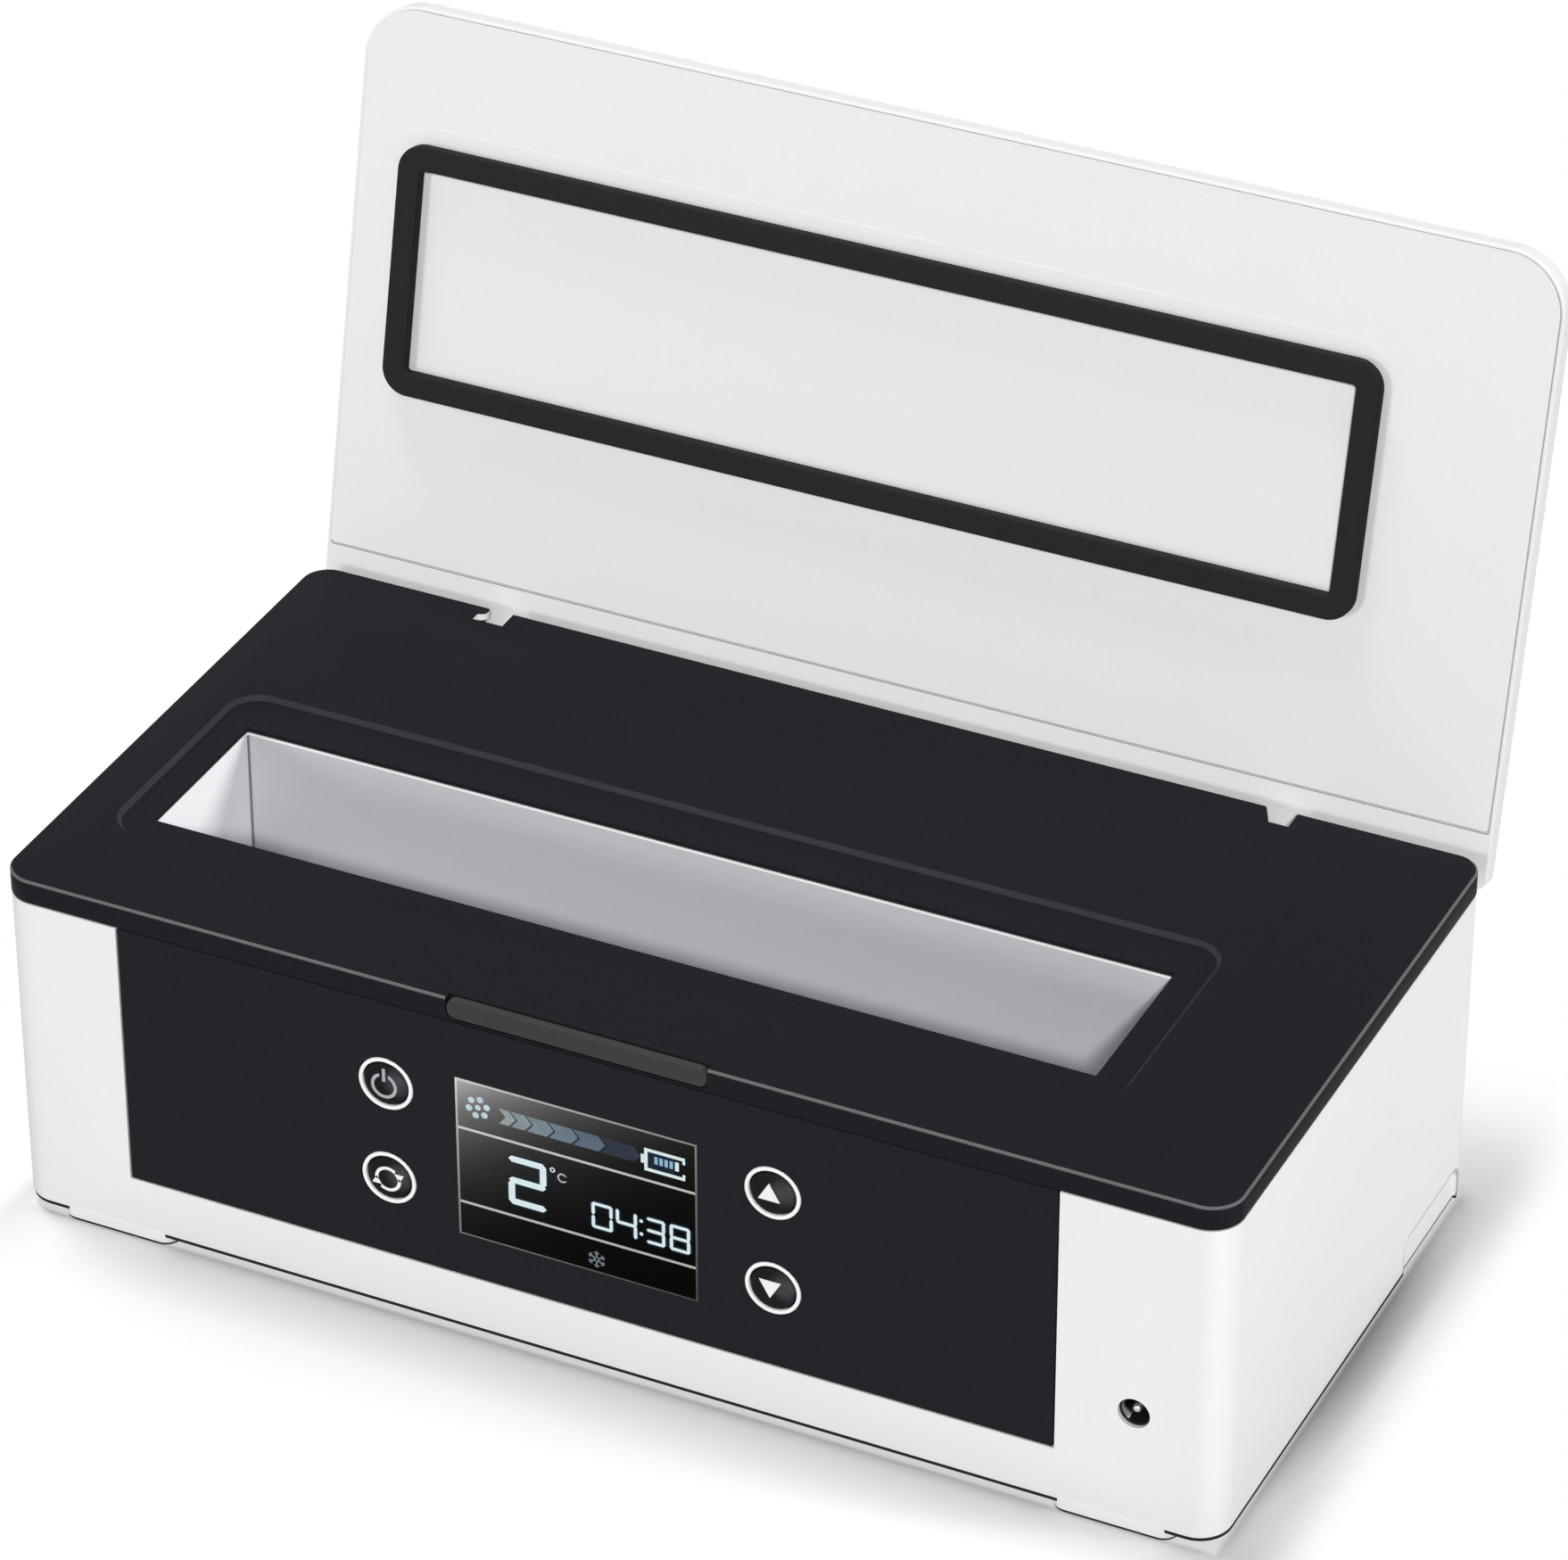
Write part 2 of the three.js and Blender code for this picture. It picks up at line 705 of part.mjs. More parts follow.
function makeButtons() {
  for (const [name, [x, z]] of Object.entries(buttonPlaces)) {
    const ring = cut(
      bar("y", ringRadius, -housingHalfDepth, panelBackY, x, z, 32),
      bar("y", ringRadius - ringWidth, -housingHalfDepth - overrun, panelBackY + overrun, x, z, 32),
    );
    add(insulinCase, "button_ring_" + name, ring, ringWhite);
    const cap = joined(
      bar("y", capRadius, -housingHalfDepth - capProud, capShoulderY + seam, x, z, 32),
      bar("y", capFlangeRadius, capShoulderY, capBackY, x, z, 32),
    );
    add(insulinCase, "button_" + name, cap, capBlack);
    const touch = joined(
      block(
        x - switchSize / 2, x + switchSize / 2, switchBackY - switchHeight, switchBackY,
        z - switchSize / 2, z + switchSize / 2,
      ),
      bar("y", switchNubRadius, nubFrontY, switchBackY - seam, x, z, 12),
    );
    add(insulinCase, "switch_" + name, touch, partBlack);
  }
}

function makeControlBoard() {
  const marginX = 2 * (postRadius + seam);
  const board = block(
    controlLeft - marginX, controlRight + marginX,
    controlBoardFrontY, controlBoardFrontY + boardThickness, controlLow, controlHigh,
  );
  add(insulinCase, "control_board", board, boardGreen);
}

// Power socket behind the front wall's lip: a barrel with a floor, its pin and a collar that holds it
function makeSocket() {
  const barrelRadius = socketBore + socketWall;
  const frontY = -housingHalfDepth + socketLip + seam;
  const backY = -housingHalfDepth + socketLength;
  const socket = cut(
    bar("y", barrelRadius, frontY, backY, socketX, socketZ),
    bar("y", socketBore, frontY - overrun, backY - socketFloor, socketX, socketZ),
    bar("y", socketPinRadius + boreClearance, frontY, backY + overrun, socketX, socketZ, 12),
  );
  add(insulinCase, "power_socket", socket, partBlack);
  add(
    insulinCase,
    "power_socket_pin",
    bar("y", socketPinRadius, frontY, backY + socketFloor, socketX, socketZ, 12),
    steel,
  );
  const collarFrontY = -innerHalfDepth + seam;
  const collar = cut(
    bar(
      "y", barrelRadius + socketCollarWidth, collarFrontY, collarFrontY + socketCollarLength,
      socketX, socketZ,
    ),
    bar("y", barrelRadius + boreClearance, frontY, backY, socketX, socketZ),
  );
  add(insulinCase, "power_socket_collar", collar, steel);
}

// Cold chamber: liner, foam round it and the block that carries heat out of its floor
function makeChamber() {
  const liner = cut(
    block(
      mouthLeft - linerWall, mouthRight + linerWall, mouthFront - linerWall, mouthRear + linerWall,
      linerBottom, ledgeTop - lipThickness - seam,
    ),
    block(mouthLeft, mouthRight, mouthFront, mouthRear, chamberFloor, deckTop + overrun),
  );
  add(insulinCase, "chamber_liner", liner, aluminium);
  const inner = linerWall + fit;
  const outer = inner + foamWall;
  const foamTop = deckBottom - seam;
  const foam = cut(
    block(
      mouthLeft - outer, mouthRight + outer, mouthFront - outer, mouthRear + outer,
      foamBottom, foamTop,
    ),
    block(
      mouthLeft - inner, mouthRight + inner, mouthFront - inner, mouthRear + inner,
      linerBottom - seam, foamTop + overrun,
    ),
    block(
      mouthCentreX - coldBlockWidth / 2 - fit,
      mouthCentreX + coldBlockWidth / 2 + fit + 2 * sensorRadius + fit,
      mouthCentreY - coldBlockDepth / 2 - fit, mouthCentreY + coldBlockDepth / 2 + fit,
      foamBottom - overrun, linerBottom + overrun,
    ),
  );
  add(insulinCase, "chamber_foam", foam, foamWhite);
  const coldBlock = block(
    mouthCentreX - coldBlockWidth / 2, mouthCentreX + coldBlockWidth / 2,
    mouthCentreY - coldBlockDepth / 2, mouthCentreY + coldBlockDepth / 2,
    coldBlockBottom, coldBlockTop,
  );
  add(insulinCase, "cold_block", coldBlock, aluminium);
  const sensorX = mouthCentreX + coldBlockWidth / 2 + fit + sensorRadius;
  const sensor = bar(
    "y", sensorRadius, mouthCentreY - sensorLength / 2, mouthCentreY + sensorLength / 2,
    sensorX, linerBottom - seam - sensorRadius, 12,
  );
  add(insulinCase, "temperature_sensor", sensor, ceramic);
}

function makeCoolingEngine() {
  const peltier = block(
    mouthCentreX - peltierSize / 2, mouthCentreX + peltierSize / 2,
    mouthCentreY - peltierSize / 2, mouthCentreY + peltierSize / 2,
    peltierBottom, peltierTop,
  );
  add(insulinCase, "peltier_module", peltier, ceramic);
  let sink = block(sinkLeft, sinkRight, sinkFront, sinkRear, sinkTop - sinkBase, sinkTop);
  for (let i = 0; i < sinkFinCount; i++) {
    const x = sinkLeft + (i * (sinkWidth - sinkFinThickness)) / (sinkFinCount - 1);
    sink = sink.add(
      block(x, x + sinkFinThickness, sinkFront, sinkRear, sinkBottom, sinkTop - sinkBase + seam),
    );
  }
  add(insulinCase, "heat_sink", sink, aluminium);
}

function makeFan() {
  const half = fanSize / 2;
  const frame = plate(outline(-half, half, -half, half, fanCornerRadius), 0, fanThickness);
  let fan = frame.subtract(
    bar("z", fanBoreRadius, -overrun, fanThickness + overrun, 0, 0, 40),
  );
  const strut = block(
    -fanBoreRadius - seam, fanBoreRadius + seam, -fanStrutWidth / 2, fanStrutWidth / 2,
    0, fanStrutThickness,
  );
  fan = joined(
    fan,
    strut,
    strut.rotate([0, 0, 90]),
    bar("z", fanHubRadius, 0, fanStrutThickness, 0, 0),
    bar("z", fanShaftRadius, 0, fanThickness - fanStrutThickness, 0, 0, 12),
  );
  // Stood up so that the struts face the rear wall
  fan = fan.rotate([90, 0, 0]).translate([mouthCentreX, fanRearY, fanCentreZ]);
  add(insulinCase, "fan_frame", fan, partBlack);

  const hubStart = fanStrutThickness + fanClearance;
  const hubEnd = fanThickness - fanClearance;
  const bladeRoot = fanHubRadius - fanClearance;
  const bladeTip = fanBoreRadius - fanClearance;
  let rotor = bar("z", fanHubRadius, hubStart, hubEnd, 0, 0);
  const bladeHeight = (hubEnd - hubStart) / Math.cos((fanBladePitch * Math.PI) / 180);
  for (let i = 0; i < fanBladeCount; i++) {
    const blade = block(
      bladeRoot, bladeTip, -fanBladeThickness / 2, fanBladeThickness / 2,
      -bladeHeight / 2, bladeHeight / 2,
    );
    rotor = rotor.add(
      blade
        .rotate([fanBladePitch, 0, 0])
        .translate([0, 0, (hubStart + hubEnd) / 2])
        .rotate([0, 0, (i * 360) / fanBladeCount]),
    );
  }
  rotor = rotor
    .intersect(bar("z", bladeTip, hubStart, hubEnd, 0, 0, 40))
    .subtract(bar("z", fanShaftRadius + boreClearance, 0, fanThickness + overrun, 0, 0, 12));
  rotor = rotor.rotate([90, 0, 0]).translate([mouthCentreX, fanRearY, fanCentreZ]);
  add(insulinCase, "fan_rotor", rotor, partBlack);
}

// Two cells lie side by side in a tray that fills the bay between the side wall and the heat sink
function makeCells() {
  const trayTop = coverTop + seam + trayWall;
  const cellZ = trayTop + seam + cellRadius;
  const offsetY = cellRadius + cellGap / 2;
  const halfDepth = offsetY + cellRadius + fit + trayWall;
  const trayLeft = -innerHalfWidth + trayInset;
  const trayRight = sinkLeft - trayClearance;
  const tray = cut(
    block(trayLeft, trayRight, -halfDepth, halfDepth, coverTop + seam, cellZ),
    block(
      trayLeft + trayWall, trayRight - trayWall, -halfDepth + trayWall, halfDepth - trayWall,
      trayTop, cellZ + overrun,
    ),
  );
  add(insulinCase, "cell_tray", tray, partBlack);
  for (const [name, sign] of [["front", -1], ["rear", 1]]) {
    const cell = bar(
      "x", cellRadius, trayLeft + trayWall + fit, trayRight - trayWall - fit,
      sign * offsetY, cellZ, 32,
    );
    add(insulinCase, "battery_cell_" + name, cell, cellWrap);
  }
}

function makeMainBoard() {
  const bottom = coverTop + standoffHeight + seam;
  const top = bottom + boardThickness;
  const board = joined(
    block(mainBoardLeft, mainBoardRight, -mainBoardDepth / 2, mainBoardDepth / 2, bottom, top),
    bar("z", coilRadius, top - seam, top + coilHeight, mainBoardCentreX, 0),
    bar(
      "z", capacitorRadius, top - seam, top + capacitorHeight,
      mainBoardCentreX + mainBoardWidth / 4, -mainBoardDepth / 4,
    ),
    bar(
      "z", capacitorRadius, top - seam, top + capacitorHeight,
      mainBoardCentreX + mainBoardWidth / 4, mainBoardDepth / 4,
    ),
  );
  add(insulinCase, "main_board", board, boardGreen);
}

// Hinge pins lie across the deck's notches
function makePins() {
  for (const [side, x] of [["left", -armX], ["right", armX]]) {
    const pin = bar("x", pinRadius, x - pinLength / 2, x + pinLength / 2, hingeY, hingeZ, 16);
    add(insulinCase, "hinge_pin_" + side, pin, steel);
  }
}

// The lid is drawn closed, round its hinge axis, and its group then turns it open
function makeLid() {
  const lid = new THREE.Group();
  const innerFace = deckTop + lidGap - hingeZ;
  const outerFace = innerFace + lidThickness;
  const halfWidth = deckHalfWidth - lidSideInset;
  const rear = deckHalfDepth - lidRearInset - hingeY;
  const tip = -deckHalfDepth - lidOverhang - hingeY;
  const fold = rear - lidRail;
  const pocketTop = outerFace - lidTopWall;

  let shell = plate(
    outline(-halfWidth, halfWidth, tip, rear, lidFrontRadius, lidRearRadius),
    innerFace, outerFace, lidBevel,
  );
  shell = shell.subtract(plate(
    outline(
      -halfWidth + lidRim, halfWidth - lidRim, tip + lidRim, fold, lidFrontRadius - lidRim, lidRim,
    ),
    innerFace - overrun, pocketTop,
  ));
  for (const x of [-armX, armX]) {
    const arm = cut(
      joined(
        bar("x", armRadius, x - armWidth / 2, x + armWidth / 2, 0, 0, 24),
        block(
          x + armWidth / 2 - neckWidth, x + armWidth / 2, -neckFront, Math.min(armRear, rear),
          0, innerFace + lidBevel,
        ),
      ),
      bar("x", pinRadius + boreClearance, x - armWidth, x + armWidth, 0, 0, 16),
    );
    shell = shell.add(arm);
  }
  add(lid, "lid_shell", shell, whiteShell);

  const panelInset = lidRim + fit;
  const panelShape = outline(
    -halfWidth + panelInset, halfWidth - panelInset, tip + panelInset, fold - fit,
    lidFrontRadius - panelInset, lidRim,
  );
  const panelTop = innerFace + lidPanelThickness;
  add(lid, "lid_inner_panel", plate(panelShape, innerFace, panelTop), whiteShell);

  const magnetTop = pocketTop - fit;
  const magnetY = tip + magnetInset;
  const magnetPocket = block(
    gripCentreX - magnetWidth / 2 - fit, gripCentreX + magnetWidth / 2 + fit,
    magnetY - magnetDepth / 2 - fit, magnetY + magnetDepth / 2 + fit,
    panelTop - overrun, pocketTop + overrun,
  );
  const foam = plate(panelShape, panelTop + fit, pocketTop - fit).subtract(magnetPocket);
  add(lid, "lid_foam", foam, foamWhite);
  add(
    lid,
    "lid_magnet",
    block(
      gripCentreX - magnetWidth / 2, gripCentreX + magnetWidth / 2,
      magnetY - magnetDepth / 2, magnetY + magnetDepth / 2, magnetTop - magnetThickness, magnetTop,
    ),
    steel,
  );

  const sealBottom = ledgeTop + fit - hingeZ;
  const sealTop = innerFace - fit;
  const seal = cut(
    plate(
      outline(sealLeft, sealRight, sealFront - hingeY, sealRear - hingeY, sealRadius),
      sealBottom, sealTop, deckBevel,
    ),
    block(
      sealLeft + sealWidth, sealRight - sealWidth,
      sealFront + sealWidth - hingeY, sealRear - sealWidth - hingeY,
      sealBottom - overrun, sealTop + overrun,
    ),
  );
  add(lid, "lid_seal", seal, sealRubber);

  lid.position.set(0, hingeY, hingeZ);
  lid.rotation.x = (-openDegrees * Math.PI) / 180;
  insulinCase.add(lid);
}

// The magnet under the deck's front edge that pulls the lid shut
function makeCatchMagnet() {
  const magnetY = -deckHalfDepth - lidOverhang + magnetInset;
  const magnet = block(
    gripCentreX - magnetWidth / 2, gripCentreX + magnetWidth / 2,
    magnetY - magnetDepth / 2, magnetY + magnetDepth / 2,
    deckBottom - seam - magnetThickness, deckBottom - seam,
  );
  add(insulinCase, "catch_magnet", magnet, steel);
}

makeDeck();
makeGrip();
makeHousing();
makeCover();
makeFeet();
makeScrews();
makeFrontPanel();
makeDisplay();
makeButtons();
makeControlBoard();
makeSocket();
makeChamber();
makeCoolingEngine();
makeFan();
makeCells();
makeMainBoard();
makePins();
makeLid();
makeCatchMagnet();

// The origin is on the table under the middle of the whole outline, with the lid open
const extent = new THREE.Box3().setFromObject(insulinCase);
insulinCase.position.y = -(extent.min.y + extent.max.y) / 2;

export default insulinCase;
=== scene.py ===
import math

import bmesh
import bpy
from mathutils import Matrix, Vector


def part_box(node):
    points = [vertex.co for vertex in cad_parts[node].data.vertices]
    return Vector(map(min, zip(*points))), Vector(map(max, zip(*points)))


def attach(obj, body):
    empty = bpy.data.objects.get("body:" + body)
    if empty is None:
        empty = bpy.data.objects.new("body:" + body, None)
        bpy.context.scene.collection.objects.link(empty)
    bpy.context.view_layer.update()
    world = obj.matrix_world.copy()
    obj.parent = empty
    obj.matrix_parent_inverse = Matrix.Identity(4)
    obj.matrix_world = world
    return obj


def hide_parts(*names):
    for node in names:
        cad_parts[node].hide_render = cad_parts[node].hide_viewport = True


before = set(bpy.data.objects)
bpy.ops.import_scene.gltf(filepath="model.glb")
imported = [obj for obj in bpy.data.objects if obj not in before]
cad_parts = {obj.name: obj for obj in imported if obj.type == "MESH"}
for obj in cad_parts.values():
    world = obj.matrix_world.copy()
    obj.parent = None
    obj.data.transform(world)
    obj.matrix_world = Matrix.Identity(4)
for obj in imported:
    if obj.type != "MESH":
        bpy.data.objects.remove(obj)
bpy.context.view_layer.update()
print("frame loaded:", len(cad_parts), "nodes")

# Sizes below are in millimetres; mm turns them into the scene's metres
mm = 0.001
axisX, axisY, axisZ = 0, 1, 2
seam = 0.2  # between faces that rest on each other
fit = 0.3  # round a piece that sits in a hole
overrun = 1.0  # how far a cut runs past the face it opens
onePoint = 1e-7  # points closer than this, in metres, are one


# Mesh helpers

def point(x, y, z):
    return Vector((x, y, z)) * mm


def block(low, high):
    bm = bmesh.new()
    bmesh.ops.create_cube(bm, size=1.0)
    bmesh.ops.scale(bm, vec=high - low, verts=bm.verts)
    bmesh.ops.translate(bm, vec=(low + high) / 2, verts=bm.verts)
    return bm


def edgesAlong(bm, axis, side=None, middle=0.0):
    # straight edges that run along an axis; side is an axis and a sign, and picks those on that side
    found = []
    for edge in bm.edges:
        run = edge.verts[1].co - edge.verts[0].co
        if abs(run[axis]) < 0.999 * run.length:
            continue
        centre = (edge.verts[0].co + edge.verts[1].co) / 2
        if side is None or (centre[side[0]] - middle) * side[1] > 0:
            found.append(edge)
    return found


def edgesAtLevel(bm, level):
    return [e for e in bm.edges if all(abs(v.co.z - level * mm) < onePoint for v in e.verts)]


def roundEdges(bm, edges, radius, segments=8, material=-1):
    bmesh.ops.bevel(
        bm, geom=edges, offset=radius * mm, segments=segments, profile=0.5,
        affect="EDGES", material=material, clamp_overlap=True,
    )


def plate(low, high, lowRadius, highRadius=None, across=axisZ, side=axisY, segments=12):
    # a slab with round corners: lowRadius at the low end of the side axis, highRadius at its high end
    bm = block(low, high)
    middle = (low[side] + high[side]) / 2
    for sign, radius in ((-1, lowRadius), (1, lowRadius if highRadius is None else highRadius)):
        if radius:
            roundEdges(bm, edgesAlong(bm, across, (side, sign), middle), radius, segments)
    return bm


def turned(profile, centre, steps=64, closed=False):
    # a round piece about the y axis through the centre; the profile holds (radius, y) in millimetres
    bm = bmesh.new()
    verts = [bm.verts.new(centre + point(radius, y, 0)) for radius, y in profile]
    edges = [bm.edges.new(pair) for pair in zip(verts, verts[1:])]
    if closed:
        edges.append(bm.edges.new((verts[-1], verts[0])))
    bmesh.ops.spin(
        bm, geom=verts + edges, cent=centre, axis=(0, 1, 0), angle=2 * math.pi, steps=steps,
        use_merge=True, use_duplicate=False,
    )
    bmesh.ops.remove_doubles(bm, verts=bm.verts, dist=onePoint)
    bmesh.ops.recalc_face_normals(bm, faces=bm.faces)
    return bm


def joined(parts):
    # several bmeshes as one
    whole = bmesh.new()
    for part in parts:
        mesh = bpy.data.meshes.new("joined")
        part.to_mesh(mesh)
        part.free()
        whole.from_mesh(mesh)
        bpy.data.meshes.remove(mesh)
    return whole


def inMaterial(bm, index):
    for face in bm.faces:
        face.material_index = index
    return bm


def linked(name, bm, materials=()):
    mesh = bpy.data.meshes.new(name)
    bm.to_mesh(mesh)
    bm.free()
    for material in materials:
        mesh.materials.append(material)
    piece = bpy.data.objects.new(name, mesh)
    bpy.context.scene.collection.objects.link(piece)
    return piece


def lifted(piece):
    # the mesh of a helper piece as a bmesh again; the piece itself goes
    bm = bmesh.new()
    bm.from_mesh(piece.data)
    bpy.data.meshes.remove(piece.data)
    return bm


def settle(piece):
    # bakes the modifiers into the mesh
    bpy.context.view_layer.update()
    graph = bpy.context.evaluated_depsgraph_get()
    baked = bpy.data.meshes.new_from_object(piece.evaluated_get(graph))
    old = piece.data
    piece.modifiers.clear()
    piece.data = baked
    bpy.data.meshes.remove(old)
    baked.name = piece.name


def combine(piece, others, operation):
    cutters = [linked("cutter", bm, piece.data.materials) for bm in others]
    for cutter in cutters:
        step = piece.modifiers.new("cut", "BOOLEAN")
        step.operation = operation
        step.solver = "EXACT"
        step.object = cutter
    settle(piece)
    for cutter in cutters:
        bpy.data.meshes.remove(cutter.data)
    return piece


def carve(piece, *cutters):
    return combine(piece, cutters, "DIFFERENCE")


def weld(piece, *parts):
    return combine(piece, parts, "UNION")


def smooth(piece):
    for face in piece.data.polygons:
        face.use_smooth = True
    return piece


def softenEdges(piece, width, segments=2, angle=35, material=-1):
    # a fine moulded radius on every edge that is sharper than the angle
    step = smooth(piece).modifiers.new("moulded radius", "BEVEL")
    step.width = width * mm
    step.segments = segments
    step.limit_method = "ANGLE"
    step.angle_limit = math.radians(angle)
    step.material = material
    step.harden_normals = True
    step.use_clamp_overlap = True
    return piece


def place(piece, body, slot, *replaced):
    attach(piece, body)
    if replaced:
        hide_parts(*replaced)
    return piece


# Shader helpers and the groups that the materials share

def feed(tree, value, socket):
    # a number is set on the socket, anything else is linked to it
    if isinstance(value, (int, float)):
        socket.default_value = value
    else:
        tree.links.new(value, socket)


def mathNode(tree, operation, first, second=0.0, clamp=False):
    node = tree.nodes.new("ShaderNodeMath")
    node.operation = operation
    node.use_clamp = clamp
    feed(tree, first, node.inputs[0])
    feed(tree, second, node.inputs[1])
    return node.outputs[0]


def ramp(tree, value, start, end, low=0.0, high=1.0):
    # a smooth step from low to high while the value runs from start to end, in millimetres
    node = tree.nodes.new("ShaderNodeMapRange")
    tree.links.new(value, node.inputs["Value"])
    settings = {"From Min": start * mm, "From Max": end * mm, "To Min": low, "To Max": high}
    for name, number in settings.items():
        node.inputs[name].default_value = number
    node.interpolation_type = "SMOOTHSTEP"
    return node.outputs["Result"]


def noise(tree, vector, scale, detail=2):
    node = tree.nodes.new("ShaderNodeTexNoise")
    node.inputs["Detail"].default_value = detail
    tree.links.new(vector, node.inputs["Vector"])
    feed(tree, scale, node.inputs["Scale"])
    return node.outputs["Fac"]


def newGroup(name, values):
    # takes a vector and the named values; gives a height for a bump, a roughness and a tone near one
    group = bpy.data.node_groups.new(name, "ShaderNodeTree")
    newSocket, number = group.interface.new_socket, "NodeSocketFloat"
    newSocket(name="Vector", in_out="INPUT", socket_type="NodeSocketVector")
    for socketName, value in values.items():
        newSocket(name=socketName, in_out="INPUT", socket_type=number).default_value = value
    for socketName in ("Height", "Roughness", "Tone"):
        newSocket(name=socketName, in_out="OUTPUT", socket_type=number)
    return group, group.nodes.new("NodeGroupInput").outputs


def finishGroup(group, given, height, change):
    # the change, a noise about one half, sways the roughness and the tone
    swing = mathNode(group, "SUBTRACT", change, 0.5)
    rough = mathNode(group, "MULTIPLY", swing, given["Roughness Change"])
    rough = mathNode(group, "ADD", rough, given["Roughness"], clamp=True)
    tone = mathNode(group, "MULTIPLY", swing, given["Tone Change"])
    tone = mathNode(group, "ADD", tone, 1.0)
    result = group.nodes.new("NodeGroupOutput")
    for name, value in (("Height", height), ("Roughness", rough), ("Tone", tone)):
        group.links.new(value, result.inputs[name])
    return group


def makeGrainGroup():
    # fine moulded grain with slow cloudy change
    group, given = newGroup("mouldedGrain", {
        "Grain Scale": 2500.0, "Cloud Scale": 25.0, "Roughness": 0.4, "Roughness Change": 0.08,
        "Tone Change": 0.02,
    })
    fine = noise(group, given["Vector"], given["Grain Scale"], 3)
    cloud = noise(group, given["Vector"], given["Cloud Scale"], 4)
    return finishGroup(group, given, fine, cloud)


def makeBrushGroup():
    # short lines drawn out along x, for brushed and rolled metal
    group, given = newGroup("brushedLines", {
        "Scale": 900.0, "Stretch": 0.03, "Roughness": 0.35, "Roughness Change": 0.2, "Tone Change": 0.3,
    })
    shape = group.nodes.new("ShaderNodeCombineXYZ")
    shape.inputs["Y"].default_value = 1.0
    shape.inputs["Z"].default_value = 1.0
    group.links.new(given["Stretch"], shape.inputs["X"])
    squeeze = group.nodes.new("ShaderNodeVectorMath")
    squeeze.operation = "MULTIPLY"
    group.links.new(given["Vector"], squeeze.inputs[0])
    group.links.new(shape.outputs[0], squeeze.inputs[1])
    lines = noise(group, squeeze.outputs[0], given["Scale"])
    return finishGroup(group, given, lines, lines)


grainGroup = makeGrainGroup()
brushGroup = makeBrushGroup()


def srgb(red, green, blue):
    # a colour as read off a screen, 0 to 255, as the shader's linear colour
    def linear(value):
        value /= 255
        return value / 12.92 if value <= 0.04045 else ((value + 0.055) / 1.055) ** 2.4
    return (linear(red), linear(green), linear(blue), 1.0)


def startMaterial(name):
    material = bpy.data.materials.new(name)
    material.use_nodes = True
    tree = material.node_tree
    coordinates = tree.nodes.new("ShaderNodeTexCoord")
    return material, tree, tree.nodes["Principled BSDF"], coordinates.outputs["Object"]


def grouped(tree, coordinates, group, settings):
    # a shared group, with this material's own values
    node = tree.nodes.new("ShaderNodeGroup")
    node.node_tree = group
    tree.links.new(coordinates, node.inputs["Vector"])
    for name, value in settings.items():
        node.inputs[name].default_value = value
    return node.outputs


def tinted(tree, colour, tone):
    # the colour times the tone
    node = tree.nodes.new("ShaderNodeVectorMath")
    node.operation = "SCALE"
    if isinstance(colour, tuple):
        node.inputs[0].default_value = colour[:3]
    else:
        tree.links.new(colour, node.inputs[0])
    tree.links.new(tone, node.inputs["Scale"])
    return node.outputs[0]


def dress(tree, shader, surface, colour, values):
    # what a shared group gives, on the shader
    tree.links.new(tinted(tree, colour, surface["Tone"]), shader.inputs["Base Color"])
    tree.links.new(surface["Roughness"], shader.inputs["Roughness"])
    bump = tree.nodes.new("ShaderNodeBump")
    bump.inputs["Strength"].default_value = values["bump"]
    bump.inputs["Distance"].default_value = values["grainDepth"] * mm
    tree.links.new(surface["Height"], bump.inputs["Height"])
    tree.links.new(bump.outputs["Normal"], shader.inputs["Normal"])


# What a finish doesn't say for itself
mouldedDefaults = {
    "grain": 2500, "cloud": 25, "roughnessChange": 0.08, "toneChange": 0.03, "specular": 0.4,
    "bump": 0.2, "grainDepth": 0.01,
}
metalDefaults = {
    "lines": 900, "stretch": 0.03, "roughnessChange": 0.2, "toneChange": 0.3, "metallic": 1.0,
    "bump": 0.15, "grainDepth": 0.01,
}


def mouldedMaterial(name, given, sheenSpot=None):
    # plastics and rubbers; a button's cap has a painted sheen, a soft lighter crescent round the place
    # given
    values = {**mouldedDefaults, **given}
    material, tree, shader, coordinates = startMaterial(name)
    grain = grouped(tree, coordinates, grainGroup, {
        "Grain Scale": values["grain"], "Cloud Scale": values["cloud"],
        "Roughness": values["roughness"], "Roughness Change": values["roughnessChange"],
        "Tone Change": values["toneChange"],
    })
    colour = values["colour"]
    if sheenSpot:
        shift = tree.nodes.new("ShaderNodeVectorMath")
        shift.operation = "DISTANCE"
        tree.links.new(coordinates, shift.inputs[0])
        shift.inputs[1].default_value = sheenSpot
        mix = tree.nodes.new("ShaderNodeMix")
        mix.data_type = "RGBA"
        reach = ramp(tree, shift.outputs["Value"], values["near"], values["far"])
        tree.links.new(reach, mix.inputs["Factor"])
        mix.inputs["A"].default_value = values["light"]
        mix.inputs["B"].default_value = colour
        colour = mix.outputs["Result"]
    shader.inputs["Specular IOR Level"].default_value = values["specular"]
    dress(tree, shader, grain, colour, values)
    return material


def metalMaterial(name, given):
    values = {**metalDefaults, **given}
    material, tree, shader, coordinates = startMaterial(name)
    brush = grouped(tree, coordinates, brushGroup, {
        "Scale": values["lines"], "Stretch": values["stretch"], "Roughness": values["roughness"],
        "Roughness Change": values["roughnessChange"], "Tone Change": values["toneChange"],
    })
    shader.inputs["Metallic"].default_value = values["metallic"]
    dress(tree, shader, brush, values["colour"], values)
    return material


